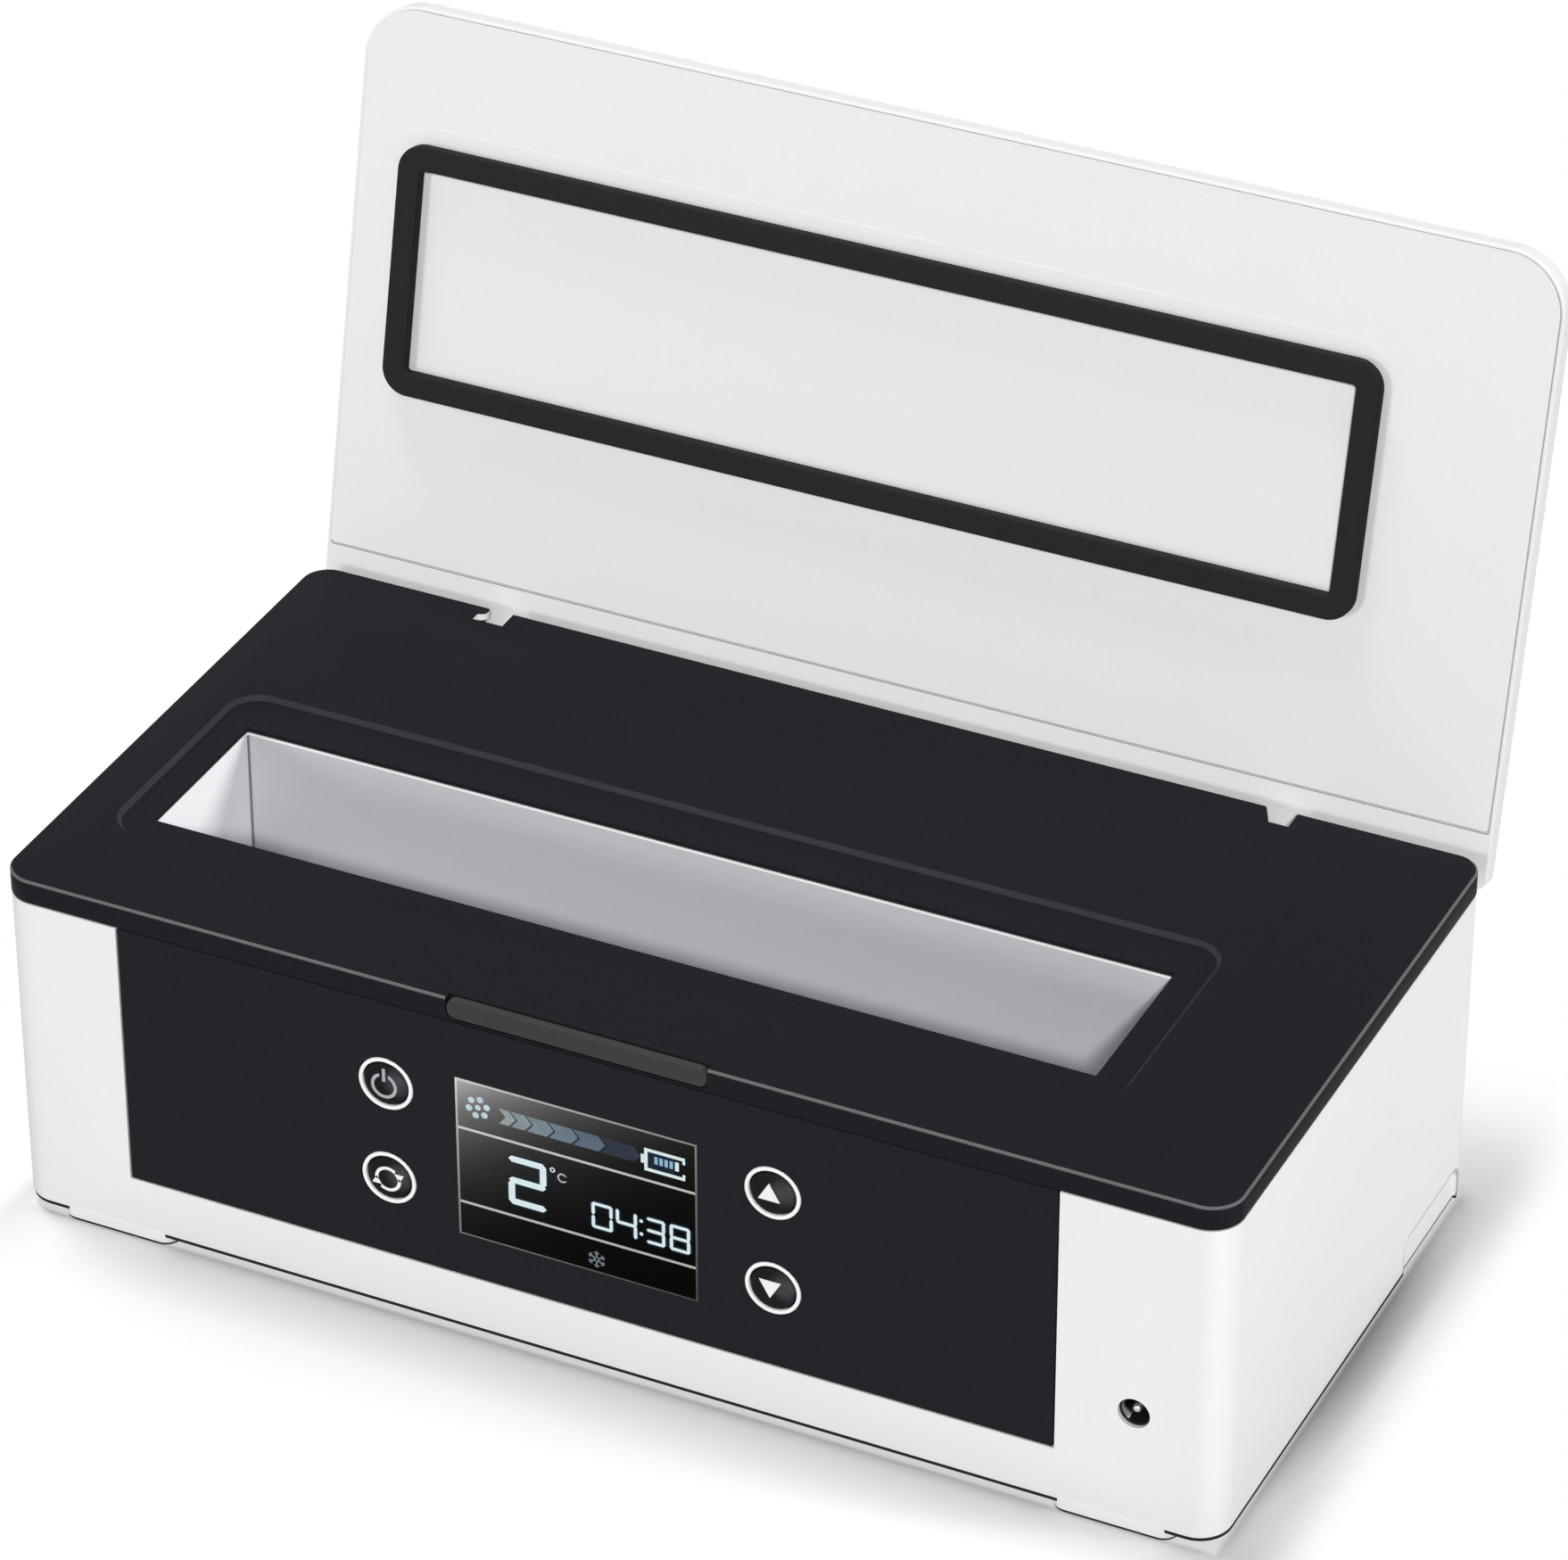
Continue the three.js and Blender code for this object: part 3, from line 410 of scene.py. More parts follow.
def glassMaterial(name, values, corner):
    # dark glass with a painted reflection: a soft grey glare that crosses it, strongest at one corner
    material, tree, shader, coordinates = startMaterial(name)
    split = tree.nodes.new("ShaderNodeSeparateXYZ")
    tree.links.new(coordinates, split.inputs[0])
    across = mathNode(tree, "SUBTRACT", split.outputs["X"], corner[0] * mm)
    across = mathNode(tree, "DIVIDE", across, values["acrossFade"] * mm)
    down = mathNode(tree, "SUBTRACT", corner[1] * mm, split.outputs["Z"])
    down = mathNode(tree, "DIVIDE", down, values["downFade"] * mm)
    reflectionGlare = mathNode(tree, "POWER", math.exp(-1), mathNode(tree, "ADD", across, down))
    reflectionGlare = mathNode(tree, "MULTIPLY", reflectionGlare, values["reflectionGlare"])
    reflectionGlare = mathNode(tree, "ADD", reflectionGlare, values["dark"])
    change = mathNode(tree, "MULTIPLY", noise(tree, coordinates, values["fleckScale"]), values["fleck"])
    reflectionGlare = mathNode(tree, "MULTIPLY", reflectionGlare, mathNode(tree, "ADD", change, 1 - values["fleck"] / 2))
    tree.links.new(tinted(tree, values["tint"], reflectionGlare), shader.inputs["Base Color"])
    shader.inputs["Roughness"].default_value = values["roughness"]
    shader.inputs["Specular IOR Level"].default_value = values["specular"]
    return material


litFinish = {"cloud": 700, "glow": 0.92, "unlit": srgb(24, 26, 30), "specular": 0.02}


def litMaterial(name, colour, toneChange):
    # a lit mark, a little uneven like the segments of a display
    material, tree, shader, coordinates = startMaterial(name)
    settings = {"Cloud Scale": litFinish["cloud"], "Tone Change": toneChange}
    tone = grouped(tree, coordinates, grainGroup, settings)["Tone"]
    tree.links.new(tinted(tree, colour, tone), shader.inputs["Emission Color"])
    tree.links.new(tinted(tree, litFinish["unlit"], tone), shader.inputs["Base Color"])
    shader.inputs["Emission Strength"].default_value = litFinish["glow"]
    shader.inputs["Specular IOR Level"].default_value = litFinish["specular"]
    return material


finishes = {
    "caseWhite": {"colour": srgb(234, 234, 234), "roughness": 0.45, "specular": 0.2,
                  "toneChange": 0.012},
    # the lid's white is a darker copy of the case white: painted shade, set against the extra light the
    # lid catches
    "lidShadedWhite": {"colour": srgb(226, 226, 226), "roughness": 0.45, "specular": 0.2,
                 "toneChange": 0.012},
    # painted highlight: a whiter tone for the radii along the case's and the feet's edges
    "edgeHighlightWhite": {"colour": srgb(250, 250, 251), "roughness": 0.4, "specular": 0.3, "toneChange": 0.01},
    # painted shade: a grey for the thin dark lines round the finger notches and along the lid's fold
    "shadeLineGrey": {"colour": srgb(180, 180, 182), "roughness": 0.5, "specular": 0.2,
                    "toneChange": 0.05},
    "deckBlack": {"colour": srgb(29, 30, 34), "roughness": 0.5, "specular": 0.02, "toneChange": 0.06},
    # painted shade: a darker copy of the deck black, for its right side
    "shadedSideBlack": {"colour": srgb(23, 24, 28), "roughness": 0.5, "specular": 0.02, "toneChange": 0.06},
    # painted highlight: a lighter grey along the deck's top rim
    "deckRimHighlight": {"colour": srgb(94, 94, 96), "roughness": 0.4, "specular": 0.1, "toneChange": 0.1},
    # painted highlight: a lighter grey on the ledge's sloped edge
    "ledgeSlopeHighlight": {"colour": srgb(48, 49, 52), "roughness": 0.5, "specular": 0.05, "toneChange": 0.08},
    "panelBlack": {"colour": srgb(33, 34, 38), "roughness": 0.45, "specular": 0.02, "toneChange": 0.05},
    "gripGrey": {"colour": srgb(60, 60, 61), "roughness": 0.65, "specular": 0.05, "toneChange": 0.12,
                 "grain": 1800, "bump": 0.5, "grainDepth": 0.03},
    "sealRubber": {"colour": srgb(36, 36, 37), "roughness": 0.7, "specular": 0.06, "toneChange": 0.1,
                   "grain": 1500, "bump": 0.4, "grainDepth": 0.03},
    "ringWhite": {"colour": srgb(246, 246, 248), "roughness": 0.35, "specular": 0.3,
                  "toneChange": 0.01},
    "inkWhite": {"colour": srgb(238, 238, 240), "roughness": 0.5, "specular": 0.1, "toneChange": 0.04},
    "inkGrey": {"colour": srgb(172, 172, 176), "roughness": 0.5, "specular": 0.1, "toneChange": 0.1,
                "cloud": 400},
    "foamWhite": {"colour": srgb(238, 236, 228), "roughness": 0.9, "specular": 0.1, "toneChange": 0.06,
                  "grain": 700, "bump": 0.9, "grainDepth": 0.2},
    "ceramicWhite": {"colour": srgb(242, 242, 240), "roughness": 0.5, "specular": 0.3},
    "boardGreen": {"colour": srgb(31, 90, 58), "roughness": 0.45, "toneChange": 0.15, "cloud": 220},
    "partBlack": {"colour": srgb(26, 27, 29), "roughness": 0.5, "specular": 0.2, "toneChange": 0.1},
    "cellBlue": {"colour": srgb(46, 111, 176), "roughness": 0.35, "toneChange": 0.05},
}
metals = {
    "steel": {"colour": srgb(185, 188, 192), "roughness": 0.3},
    # the liner as painted lit and shaded copies of one aluminium: a darker tone for the walls in shade,
    # a lighter one for the left end, a dark grey painted shade for the inner corners and a highlight
    # white along the top band
    "linerShadedAluminium": {"colour": srgb(196, 195, 198), "roughness": 0.5, "metallic": 0.1, "lines": 1200,
                       "toneChange": 0.05, "bump": 0.04},
    "linerLitEnd": {"colour": srgb(243, 243, 245), "roughness": 0.5, "metallic": 0.1, "toneChange": 0.05,
                 "bump": 0.04},
    "linerCornerShade": {"colour": srgb(120, 119, 122), "roughness": 0.5, "metallic": 0.1,
                    "toneChange": 0.1},
    "linerTopHighlight": {"colour": srgb(248, 248, 250), "roughness": 0.4, "metallic": 0.1, "toneChange": 0.05},
    "sinkAluminium": {"colour": srgb(205, 206, 210), "roughness": 0.35},
    "socketMetal": {"colour": srgb(120, 120, 124), "roughness": 0.22, "stretch": 1.0, "lines": 600},
}
look = {name: mouldedMaterial(name, values) for name, values in finishes.items()}
look.update({name: metalMaterial(name, values) for name, values in metals.items()})
print("materials ready")


# The case. Places are written round the middle of the deck, which lies this far from the frame's origin
deckLow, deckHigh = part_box("top_deck")
middleY = (deckLow.y + deckHigh.y) / 2 / mm


def spot(x, y, z):
    return point(x, y + middleY, z)


def roundBar(axis, radius, start, end, x, y, z, sides=48):
    # a round bar along an axis, from start to end, through the place x, y, z
    shift = middleY if axis == axisY else 0
    start, end = (start + shift) * mm, (end + shift) * mm
    bm = bmesh.new()
    bmesh.ops.create_cone(
        bm, cap_ends=True, segments=sides, radius1=radius * mm, radius2=radius * mm, depth=end - start,
    )
    if axis != axisZ:
        turn = Matrix.Rotation(math.pi / 2, 3, "Y" if axis == axisX else "X")
        bmesh.ops.rotate(bm, cent=(0, 0, 0), matrix=turn, verts=bm.verts)
    centre = spot(x, y, z)
    centre[axis] = (start + end) / 2
    bmesh.ops.translate(bm, vec=centre, verts=bm.verts)
    return bm


case = {
    "halfWidth": 115.0, "halfDepth": 57.0, "deckTop": 70.4, "deckBottom": 65.8,
    "frontRadius": 6.0, "rearRadius": 5.0, "rimChamfer": 0.4, "underEdge": 0.3, "softEdge": 0.12,
    "mouthLeft": -99.6, "mouthRight": 79.4, "mouthFront": -29.7, "mouthRear": 3.5, "mouthRadius": 0.4,
    "ledgeTop": 69.6, "ledgeRadius": 6.35, "ledgeSlope": 0.8, "linerLip": 0.8, "linerSeat": 1.1,
}
ledgeArea = {"left": -106.1, "right": 85.9, "front": -36.05, "rear": 13.45}
grip = {
    "left": -27.6, "right": 21.1, "bottom": 66.5, "depth": 1.5, "radius": 1.6, "softEdge": 0.25,
    "seatRadius": 1.8, "seatRise": 4,
}
hinge = {
    "x": 77.0, "y": 52.9, "z": 66.54, "pinHole": 1.15, "holeReach": 8.2,
    "bossHalf": 9.4, "bossFront": 50.6, "bossRear": 56.9, "bossDrop": 3,
    "pocketTop": 69.14, "pocketFront": 2.6, "pocketDrop": 4,
}
hingePlaces = (-hinge["x"], hinge["x"])


def pinBar(radius, x, half):
    # a round bar on the hinge's axis
    return roundBar(axisX, radius, x - half, x + half, 0, hinge["y"], hinge["z"])


notch = {"half": 3.0, "depth": 4.7, "slant": 2.3, "radius": 1.6}
hook = {"slotReach": 3.0, "slotDepth": 1.7, "noseRadius": 1.4, "noseX": 2.9, "lap": 0.05}
underDeck = {
    "ribX": 111.5, "ribHalf": 0.7, "ribReach": 48.2, "ribDrop": 3,
    "postX": 103.5, "postY": 41.5, "postRadius": 3.4, "postLow": 4.5,
    "screwHole": 1.3, "holeLow": 2, "holeHigh": 16.5,
}
deckLooks = ("deckBlack", "deckRimHighlight", "ledgeSlopeHighlight", "caseWhite", "shadedSideBlack")


def notchCutter(left, right, low, high):
    # a hinge notch whose left wall slants and flares round at the deck's rear edge
    rear, depth, slant, radius = case["halfDepth"], notch["depth"], notch["slant"], notch["radius"]
    front = rear - depth
    bm = block(spot(left, front, low), spot(right, rear + overrun, high))
    for vert in bm.verts:
        if vert.co.x < (left + right) / 2 * mm and vert.co.y < (front + rear) / 2 * mm + middleY * mm:
            vert.co.x += slant * mm
        elif vert.co.x < (left + right) / 2 * mm:
            vert.co.x -= slant * overrun / depth * mm
    piece = linked("notch", bm, [look["deckBlack"]])
    slope = math.atan2(depth, slant)
    reach = radius * math.tan(slope / 2)
    flare = linked("flare", block(
        spot(left - reach, rear - radius * (1 - math.cos(slope)), low),
        spot(left + radius / 2, rear + overrun, high),
    ), [look["deckBlack"]])
    carve(flare, roundBar(axisZ, radius, low - overrun, high + overrun, left - reach, rear - radius, 0))
    return lifted(weld(piece, lifted(flare)))


def hookCutters(x, right, low, high):
    # the left notch: a slot runs under a round nose of the deck's rear edge
    rear, nose = case["halfDepth"], x - hook["noseX"]
    front = rear - notch["depth"]
    slotRear = front + hook["slotDepth"]
    slot = block(spot(x - hook["slotReach"], front, low), spot(right, slotRear, high))
    mouth = linked("mouth", block(
        spot(nose, slotRear - hook["lap"], low), spot(right, rear + overrun, high),
    ), [look["deckBlack"]])
    carve(mouth, roundBar(
        axisZ, hook["noseRadius"], low - overrun, high + overrun, nose, rear - hook["noseRadius"], 0,
    ))
    return slot, lifted(mouth)


def makeDeck():
    half, depth = case["halfWidth"], case["halfDepth"]
    top, bottom = case["deckTop"], case["deckBottom"]
    bm = plate(
        spot(-half, -depth, bottom), spot(half, depth, top), case["frontRadius"], case["rearRadius"],
    )
    # the top rim's chamfer takes the painted highlight grey
    roundEdges(bm, edgesAtLevel(bm, top), case["rimChamfer"], 3, material=deckLooks.index("deckRimHighlight"))
    roundEdges(bm, edgesAtLevel(bm, bottom), case["underEdge"], 2)
    bm.normal_update()
    for face in bm.faces:
        # painted light: the rim's highlight stays off the rear and left rims, which stay dark, and the
        # right side takes the darker black, painted shade
        centre = face.calc_center_median()
        if centre.y > spot(0, depth - 1, 0).y or centre.x < -(half - 1) * mm:
            face.material_index = 0
        elif face.normal.x > 0.9 and face.material_index == 0:
            face.material_index = deckLooks.index("shadedSideBlack")
    deck = linked("deckPlate", bm, [look[name] for name in deckLooks])
    # the ledge has a sloped edge all round, in a lighter grey: a painted highlight
    ledge = plate(
        spot(ledgeArea["left"], ledgeArea["front"], case["ledgeTop"]),
        spot(ledgeArea["right"], ledgeArea["rear"], top + overrun), case["ledgeRadius"],
    )
    roundEdges(ledge, edgesAtLevel(ledge, case["ledgeTop"]), case["ledgeSlope"], 1,
               material=deckLooks.index("ledgeSlopeHighlight"))
    mouth = plate(
        spot(case["mouthLeft"], case["mouthFront"], bottom - overrun),
        spot(case["mouthRight"], case["mouthRear"], top + overrun), case["mouthRadius"], segments=4,
    )
    seat = case["linerSeat"]
    linerSeat = block(
        spot(case["mouthLeft"] - seat, case["mouthFront"] - seat, bottom - overrun),
        spot(case["mouthRight"] + seat, case["mouthRear"] + seat, case["ledgeTop"] - case["linerLip"]),
    )
    gripSeat = plate(
        spot(grip["left"] - seam, -depth - overrun, grip["bottom"] - seam),
        spot(grip["right"] + seam, -depth + grip["depth"] + seam, top + grip["seatRise"]),
        grip["seatRadius"], 0, across=axisY, side=axisZ,
    )
    carve(deck, ledge, mouth, linerSeat, gripSeat)
    # under the plate: ribs inside the side walls, screw posts and hinge bosses
    reach, thick, ribLow = underDeck["ribReach"], underDeck["ribHalf"], bottom - underDeck["ribDrop"]
    ribs = [
        block(spot(x - thick, -reach, ribLow), spot(x + thick, reach, bottom + seam))
        for x in (-underDeck["ribX"], underDeck["ribX"])
    ]
    screws = [(x * underDeck["postX"], y * underDeck["postY"]) for x in (-1, 1) for y in (-1, 1)]
    posts = [
        roundBar(axisZ, underDeck["postRadius"], underDeck["postLow"], bottom + seam, x, y, 0)
        for x, y in screws
    ]
    bosses = [
        block(spot(x - hinge["bossHalf"], hinge["bossFront"], hinge["z"] - hinge["bossDrop"]),
              spot(x + hinge["bossHalf"], hinge["bossRear"], bottom + seam))
        for x in hingePlaces
    ]
    weld(deck, *ribs, *posts, *bosses)
    cuts = [
        roundBar(axisZ, underDeck["screwHole"], underDeck["holeLow"], underDeck["holeHigh"], x, y, 0)
        for x, y in screws
    ]
    for x in hingePlaces:
        left, right, low, high = x - notch["half"], x + notch["half"], hinge["pocketTop"], top + overrun
        cuts.append(block(
            spot(left, hinge["y"] - hinge["pocketFront"], hinge["z"] - hinge["pocketDrop"]),
            spot(right, depth + overrun, low),
        ))
        if x < 0:
            notches = hookCutters(x, right, low - seam, high)
        else:
            notches = [notchCutter(left, right, low - seam, high)]
        cuts += [inMaterial(cutter, deckLooks.index("caseWhite")) for cutter in notches]
        cuts.append(pinBar(hinge["pinHole"], x, hinge["holeReach"]))
    carve(deck, *cuts)
    place(softenEdges(deck, case["softEdge"]), "case", "deck_black", "top_deck")


def makeGrip():
    strip = linked("gripStrip", plate(
        spot(grip["left"], -case["halfDepth"], grip["bottom"]),
        spot(grip["right"], -case["halfDepth"] + grip["depth"], case["deckTop"] - seam),
        grip["radius"], across=axisY, side=axisZ,
    ), [look["gripGrey"]])
    place(softenEdges(strip, grip["softEdge"], 3), "case", "grip_grey", "finger_grip")


wall = {
    "halfWidth": 114.9, "halfDepth": 56.9, "low": 2.3, "high": 65.6, "thick": 2.4, "bevel": 0.5,
    "frontRadius": 5.9, "rearRadius": 4.9, "innerLess": 1.2, "edge": 0.3,
}
panel = {"left": -91.9, "right": 85.0, "bottom": 12.8, "thick": 1.2, "edge": 0.1}
boardBay = {"left": -49.25, "right": 42.35, "bottom": 17.8, "top": 58.5}
hingeBay = {"half": 9.7, "drop": 3.3}
socket = {"x": 99.1, "z": 24.9, "mouth": 2.9, "hole": 3.3, "lip": 0.8, "bore": 2.75, "outer": 3.15}
fanSlots = {
    "count": 9, "width": 1.8, "length": 34.0, "pitch": 4.0, "radius": 0.85, "x": -10.1, "z": 25.3,
}
sideNotch = {
    "rear": 51.9, "length": 25.0, "top": 8.6, "under": 4, "depth": 0.6, "radius": 2.4,
    "line": 0.7, "lineDepth": 0.15,
}
housingLooks = ("caseWhite", "edgeHighlightWhite", "shadeLineGrey")


def makeHousing():
    halfX, halfY, low, high = wall["halfWidth"], wall["halfDepth"], wall["low"], wall["high"]
    highlightIndex = housingLooks.index("edgeHighlightWhite")
    bm = plate(
        spot(-halfX, -halfY, low), spot(halfX, halfY, high), wall["frontRadius"], wall["rearRadius"],
    )
    # the bottom rim's radius takes the painted highlight white
    roundEdges(bm, edgesAtLevel(bm, low), wall["bevel"], 4, material=highlightIndex)
    housing = linked("housingShell", bm, [look[name] for name in housingLooks])
    inX, inY = halfX - wall["thick"], halfY - wall["thick"]
    cuts = [
        plate(spot(-inX, -inY, low - overrun), spot(inX, inY, high + overrun),
              wall["frontRadius"] - wall["innerLess"], wall["rearRadius"] - wall["innerLess"]),
        block(spot(panel["left"], -halfY - overrun, panel["bottom"]),
              spot(panel["right"], -halfY + panel["thick"] + seam, high + overrun)),
        block(spot(boardBay["left"], -halfY, boardBay["bottom"]),
              spot(boardBay["right"], -inY + overrun, boardBay["top"])),
    ]
    for name, start in (("mouth", -halfY - overrun), ("hole", -halfY + socket["lip"])):
        cuts.append(roundBar(
            axisY, socket[name], start, -inY + overrun, socket["x"], 0, socket["z"], 64,
        ))
    for x in hingePlaces:
        cuts.append(block(spot(x - hingeBay["half"], inY - overrun, hinge["z"] - hingeBay["drop"]),
                          spot(x + hingeBay["half"], halfY + overrun, high + overrun)))
    for i in range(fanSlots["count"]):
        x = fanSlots["x"] + (i - (fanSlots["count"] - 1) / 2) * fanSlots["pitch"]
        cuts.append(plate(
            spot(x - fanSlots["width"] / 2, inY - overrun, fanSlots["z"] - fanSlots["length"] / 2),
            spot(x + fanSlots["width"] / 2, halfY + overrun, fanSlots["z"] + fanSlots["length"] / 2),
            fanSlots["radius"], across=axisY, side=axisZ, segments=6,
        ))
    # the finger notches, with a fine grey line round them: painted shade along their edges
    shadeLine = (sideNotch["line"], sideNotch["lineDepth"], housingLooks.index("shadeLineGrey"))
    for sign in (-1, 1):
        for extra, depth, index in (shadeLine, (0, sideNotch["depth"], 0)):
            outer, inner = sign * (halfX + overrun), sign * (halfX - depth)
            cutter = plate(
                spot(min(outer, inner), sideNotch["rear"] - sideNotch["length"] - extra,
                     low - sideNotch["under"]),
                spot(max(outer, inner), sideNotch["rear"] + extra, sideNotch["top"] + extra),
                0, sideNotch["radius"] + extra, across=axisX, side=axisZ,
            )
            cuts.append(inMaterial(cutter, index))
    carve(housing, *cuts)
    # every edge's moulded radius takes the painted highlight white as well
    place(softenEdges(housing, wall["edge"], material=highlightIndex), "case", "case_white", "lower_housing")


feet = {
    "x": 95.4, "halfLength": 11.5, "depth": 11.2, "radius": 3.0, "top": 3.0, "proud": 0.02,
    "edge": 0.25, "shadeSole": 0.4, "shadeSoleInset": 0.15, "shadeSoleLap": 0.2,
}
# the dark strip under the rim, painted shade for the contact shadow line
lip = {"height": 0.6, "rise": 0.4, "thick": 1.6, "insetX": 0.1, "insetY": 0.25, "notchReach": 3}


def makeFeet():
    for side, signX in (("left", -1), ("right", 1)):
        for end, signY in (("front", -1), ("rear", 1)):
            x, edge = signX * feet["x"], signY * (wall["halfDepth"] + feet["proud"])
            far = edge - signY * feet["depth"]
            title = end.title() + side.title()
            foot = linked("foot" + title, plate(
                spot(x - feet["halfLength"], min(edge, far), feet["shadeSole"]),
                spot(x + feet["halfLength"], max(edge, far), feet["top"]), feet["radius"],
            ), [look["caseWhite"], look["edgeHighlightWhite"]])
            # the foot's edge radii take the painted highlight white
            softenEdges(foot, feet["edge"], 3, material=1)
            place(foot, "case", "case_white", "foot_" + end + "_" + side)
            # a dark rubber sole under each foot; its dark is also painted shade, for the contact shadow
            # line under the feet
            inset, soleTop = feet["shadeSoleInset"], feet["shadeSole"] + feet["shadeSoleLap"]
            shadeSole = plate(
                spot(x - feet["halfLength"] + inset, min(edge, far) + inset, 0),
                spot(x + feet["halfLength"] - inset, max(edge, far) - inset, soleTop), feet["radius"],
            )
            place(linked("shadeSole" + title, shadeSole, [look["sealRubber"]]), "case", "case_white")


def makeShadeLip():
    # a dark strip under the rim all round: painted shade, standing in for the contact shadow line
    halfX, halfY = wall["halfWidth"] - lip["insetX"], wall["halfDepth"] - lip["insetY"]
    low, high = wall["low"] - lip["height"], wall["low"] + lip["rise"]
    under = linked("contactShadeLip", plate(
        spot(-halfX, -halfY, low), spot(halfX, halfY, high), wall["frontRadius"], wall["rearRadius"],
    ), [look["sealRubber"]])
    thick, cutLow, cutHigh = lip["thick"], low - overrun, high + overrun
    cuts = [plate(
        spot(-halfX + thick, -halfY + thick, cutLow), spot(halfX - thick, halfY - thick, cutHigh),
        wall["frontRadius"] - thick, wall["rearRadius"] - thick,
    )]
    # it steps in at the finger notches
    front = sideNotch["rear"] - sideNotch["length"] - lip["insetX"]
    rear = sideNotch["rear"] + lip["insetX"]
    for side, x in ((-1, -halfX + sideNotch["depth"]), (1, halfX - sideNotch["depth"])):
        far = x + side * lip["notchReach"]
        cuts.append(block(spot(min(x, far), front, cutLow), spot(max(x, far), rear, cutHigh)))
    carve(under, *cuts)
    place(under, "case", "case_white")


makeDeck()
makeGrip()
makeHousing()
makeFeet()
makeShadeLip()
print("case ready")


# The front panel, the display's window and the buttons
frontY = -wall["halfDepth"]
window = {
    "left": -26.5, "right": 19.2, "bottom": 21.8, "top": 54.5, "thick": 0.8, "gap": 0.05, "edge": 0.06,
}
buttonSpots = {
    "power": (-39.95, 48.8), "mode": (-39.95, 29.1), "up": (33.05, 48.8), "down": (33.05, 29.1),
}
# the crown holds (radius, drop) from the middle of a cap out to its shoulder
button = {
    "ring": 5.2, "ringWidth": 0.74, "ringInnerEdge": 0.12, "ringOuterEdge": 0.15,
    "cap": 4.15, "proud": 0.3, "flange": 5.3, "flangeThick": 0.8, "back": 2.3, "edge": 0.05,
    "crownDrop": 0.04, "shoulder": 0.6, "symbolProud": 0.01,
    "crown": ((0, 0), (1.5, 0.01), (2.8, 0.04), (3.4, 0.1), (3.8, 0.2), (4.05, 0.34)),
}
capFinish = {
    "colour": srgb(26, 26, 29), "roughness": 0.4, "toneChange": 0.9, "specular": 0.03,
    "grain": 900, "cloud": 500, "light": srgb(66, 66, 70), "near": 0.6, "far": 3.6,
}
# the offset from the middle of a cap's crown to where its painted sheen is brightest
capSheenSpot = (2.4, 0, 1.0)


def makeFrontPanel():
    back = frontY + panel["thick"]
    piece = linked("panelPlate", block(
        spot(panel["left"] + fit, frontY, panel["bottom"] + fit),
        spot(panel["right"] - fit, back, wall["high"]),
    ), [look["panelBlack"]])
    before, past = frontY - overrun, back + overrun
    cuts = [block(spot(window["left"], before, window["bottom"]),
                  spot(window["right"], past, window["top"]))]
    for x, z in buttonSpots.values():
        cuts.append(roundBar(axisY, button["ring"] + fit / 2, before, past, x, 0, z, 96))
    carve(piece, *cuts)
    place(softenEdges(piece, panel["edge"]), "case", "panel_black", "front_panel")


def makeRing(name, x, z):
    inner, outer = button["ring"] - button["ringWidth"], button["ring"]
    innerEdge, outerEdge = button["ringInnerEdge"], button["ringOuterEdge"]
    back = frontY + panel["thick"]
    profile = [
        (inner, back), (inner, frontY + innerEdge), (inner + innerEdge, frontY),
        (outer - outerEdge, frontY), (outer, frontY + outerEdge), (outer, back),
    ]
    bm = turned(profile, spot(x, 0, z), 96, closed=True)
    ring = linked("ring" + name.title(), bm, [look["ringWhite"]])
    place(smooth(ring), "case", "print_white", "button_ring_" + name)


def makeCap(name, x, z):
    # a cap with a faint crown, its symbol laid into the top
    crown, back = frontY - button["proud"] + button["crownDrop"], frontY + button["back"]
    profile = [(radius, crown + drop) for radius, drop in button["crown"]] + [
        (button["cap"], crown + button["shoulder"]), (button["cap"], back - button["flangeThick"]),
        (button["flange"], back - button["flangeThick"]), (button["flange"], back), (0, back),
    ]
    material = mouldedMaterial("cap" + name.title(), capFinish, spot(x, crown, z) + point(*capSheenSpot))
    cap = linked("cap" + name.title(), turned(profile, spot(x, 0, z), 96), [material])
    place(softenEdges(cap, button["edge"], 1, 60), name + "_button", "cap_black", "button_" + name)


def stroke(x0, z0, x1, z1, width, front, back, pointed=False):
    # a straight bar of ink between two points of the front
    run = math.hypot(x1 - x0, z1 - z0)
    bm = block(point(-run / 2, front, -width / 2), point(run / 2, back, width / 2))
    if pointed:
        roundEdges(bm, edgesAlong(bm, axisY), width * 0.49, 1)
    turn = Matrix.Rotation(-math.atan2(z1 - z0, x1 - x0), 3, "Y")
    bmesh.ops.rotate(bm, cent=(0, 0, 0), matrix=turn, verts=bm.verts)
    bmesh.ops.translate(bm, vec=spot((x0 + x1) / 2, 0, (z0 + z1) / 2), verts=bm.verts)
    return bm


def disc(x, z, radius, front, back, sides=32, turn=0.0):
    # a flat dot of ink; three sides make a triangle that points up
    bm = roundBar(axisY, radius, front, back, x, 0, z, sides)
    turning = Matrix.Rotation(math.radians(turn), 3, "Y")
    bmesh.ops.rotate(bm, cent=spot(x, 0, z), matrix=turning, verts=bm.verts)
    return bm


def band(x, z, outer, width, front, back):
    profile = [(outer - width, front), (outer, front), (outer, back), (outer - width, back)]
    return turned(profile, spot(x, 0, z), 64, closed=True)


def ink(name, bm, material, body="case"):
    return place(linked(name, bm, [material]), body, "print_white")


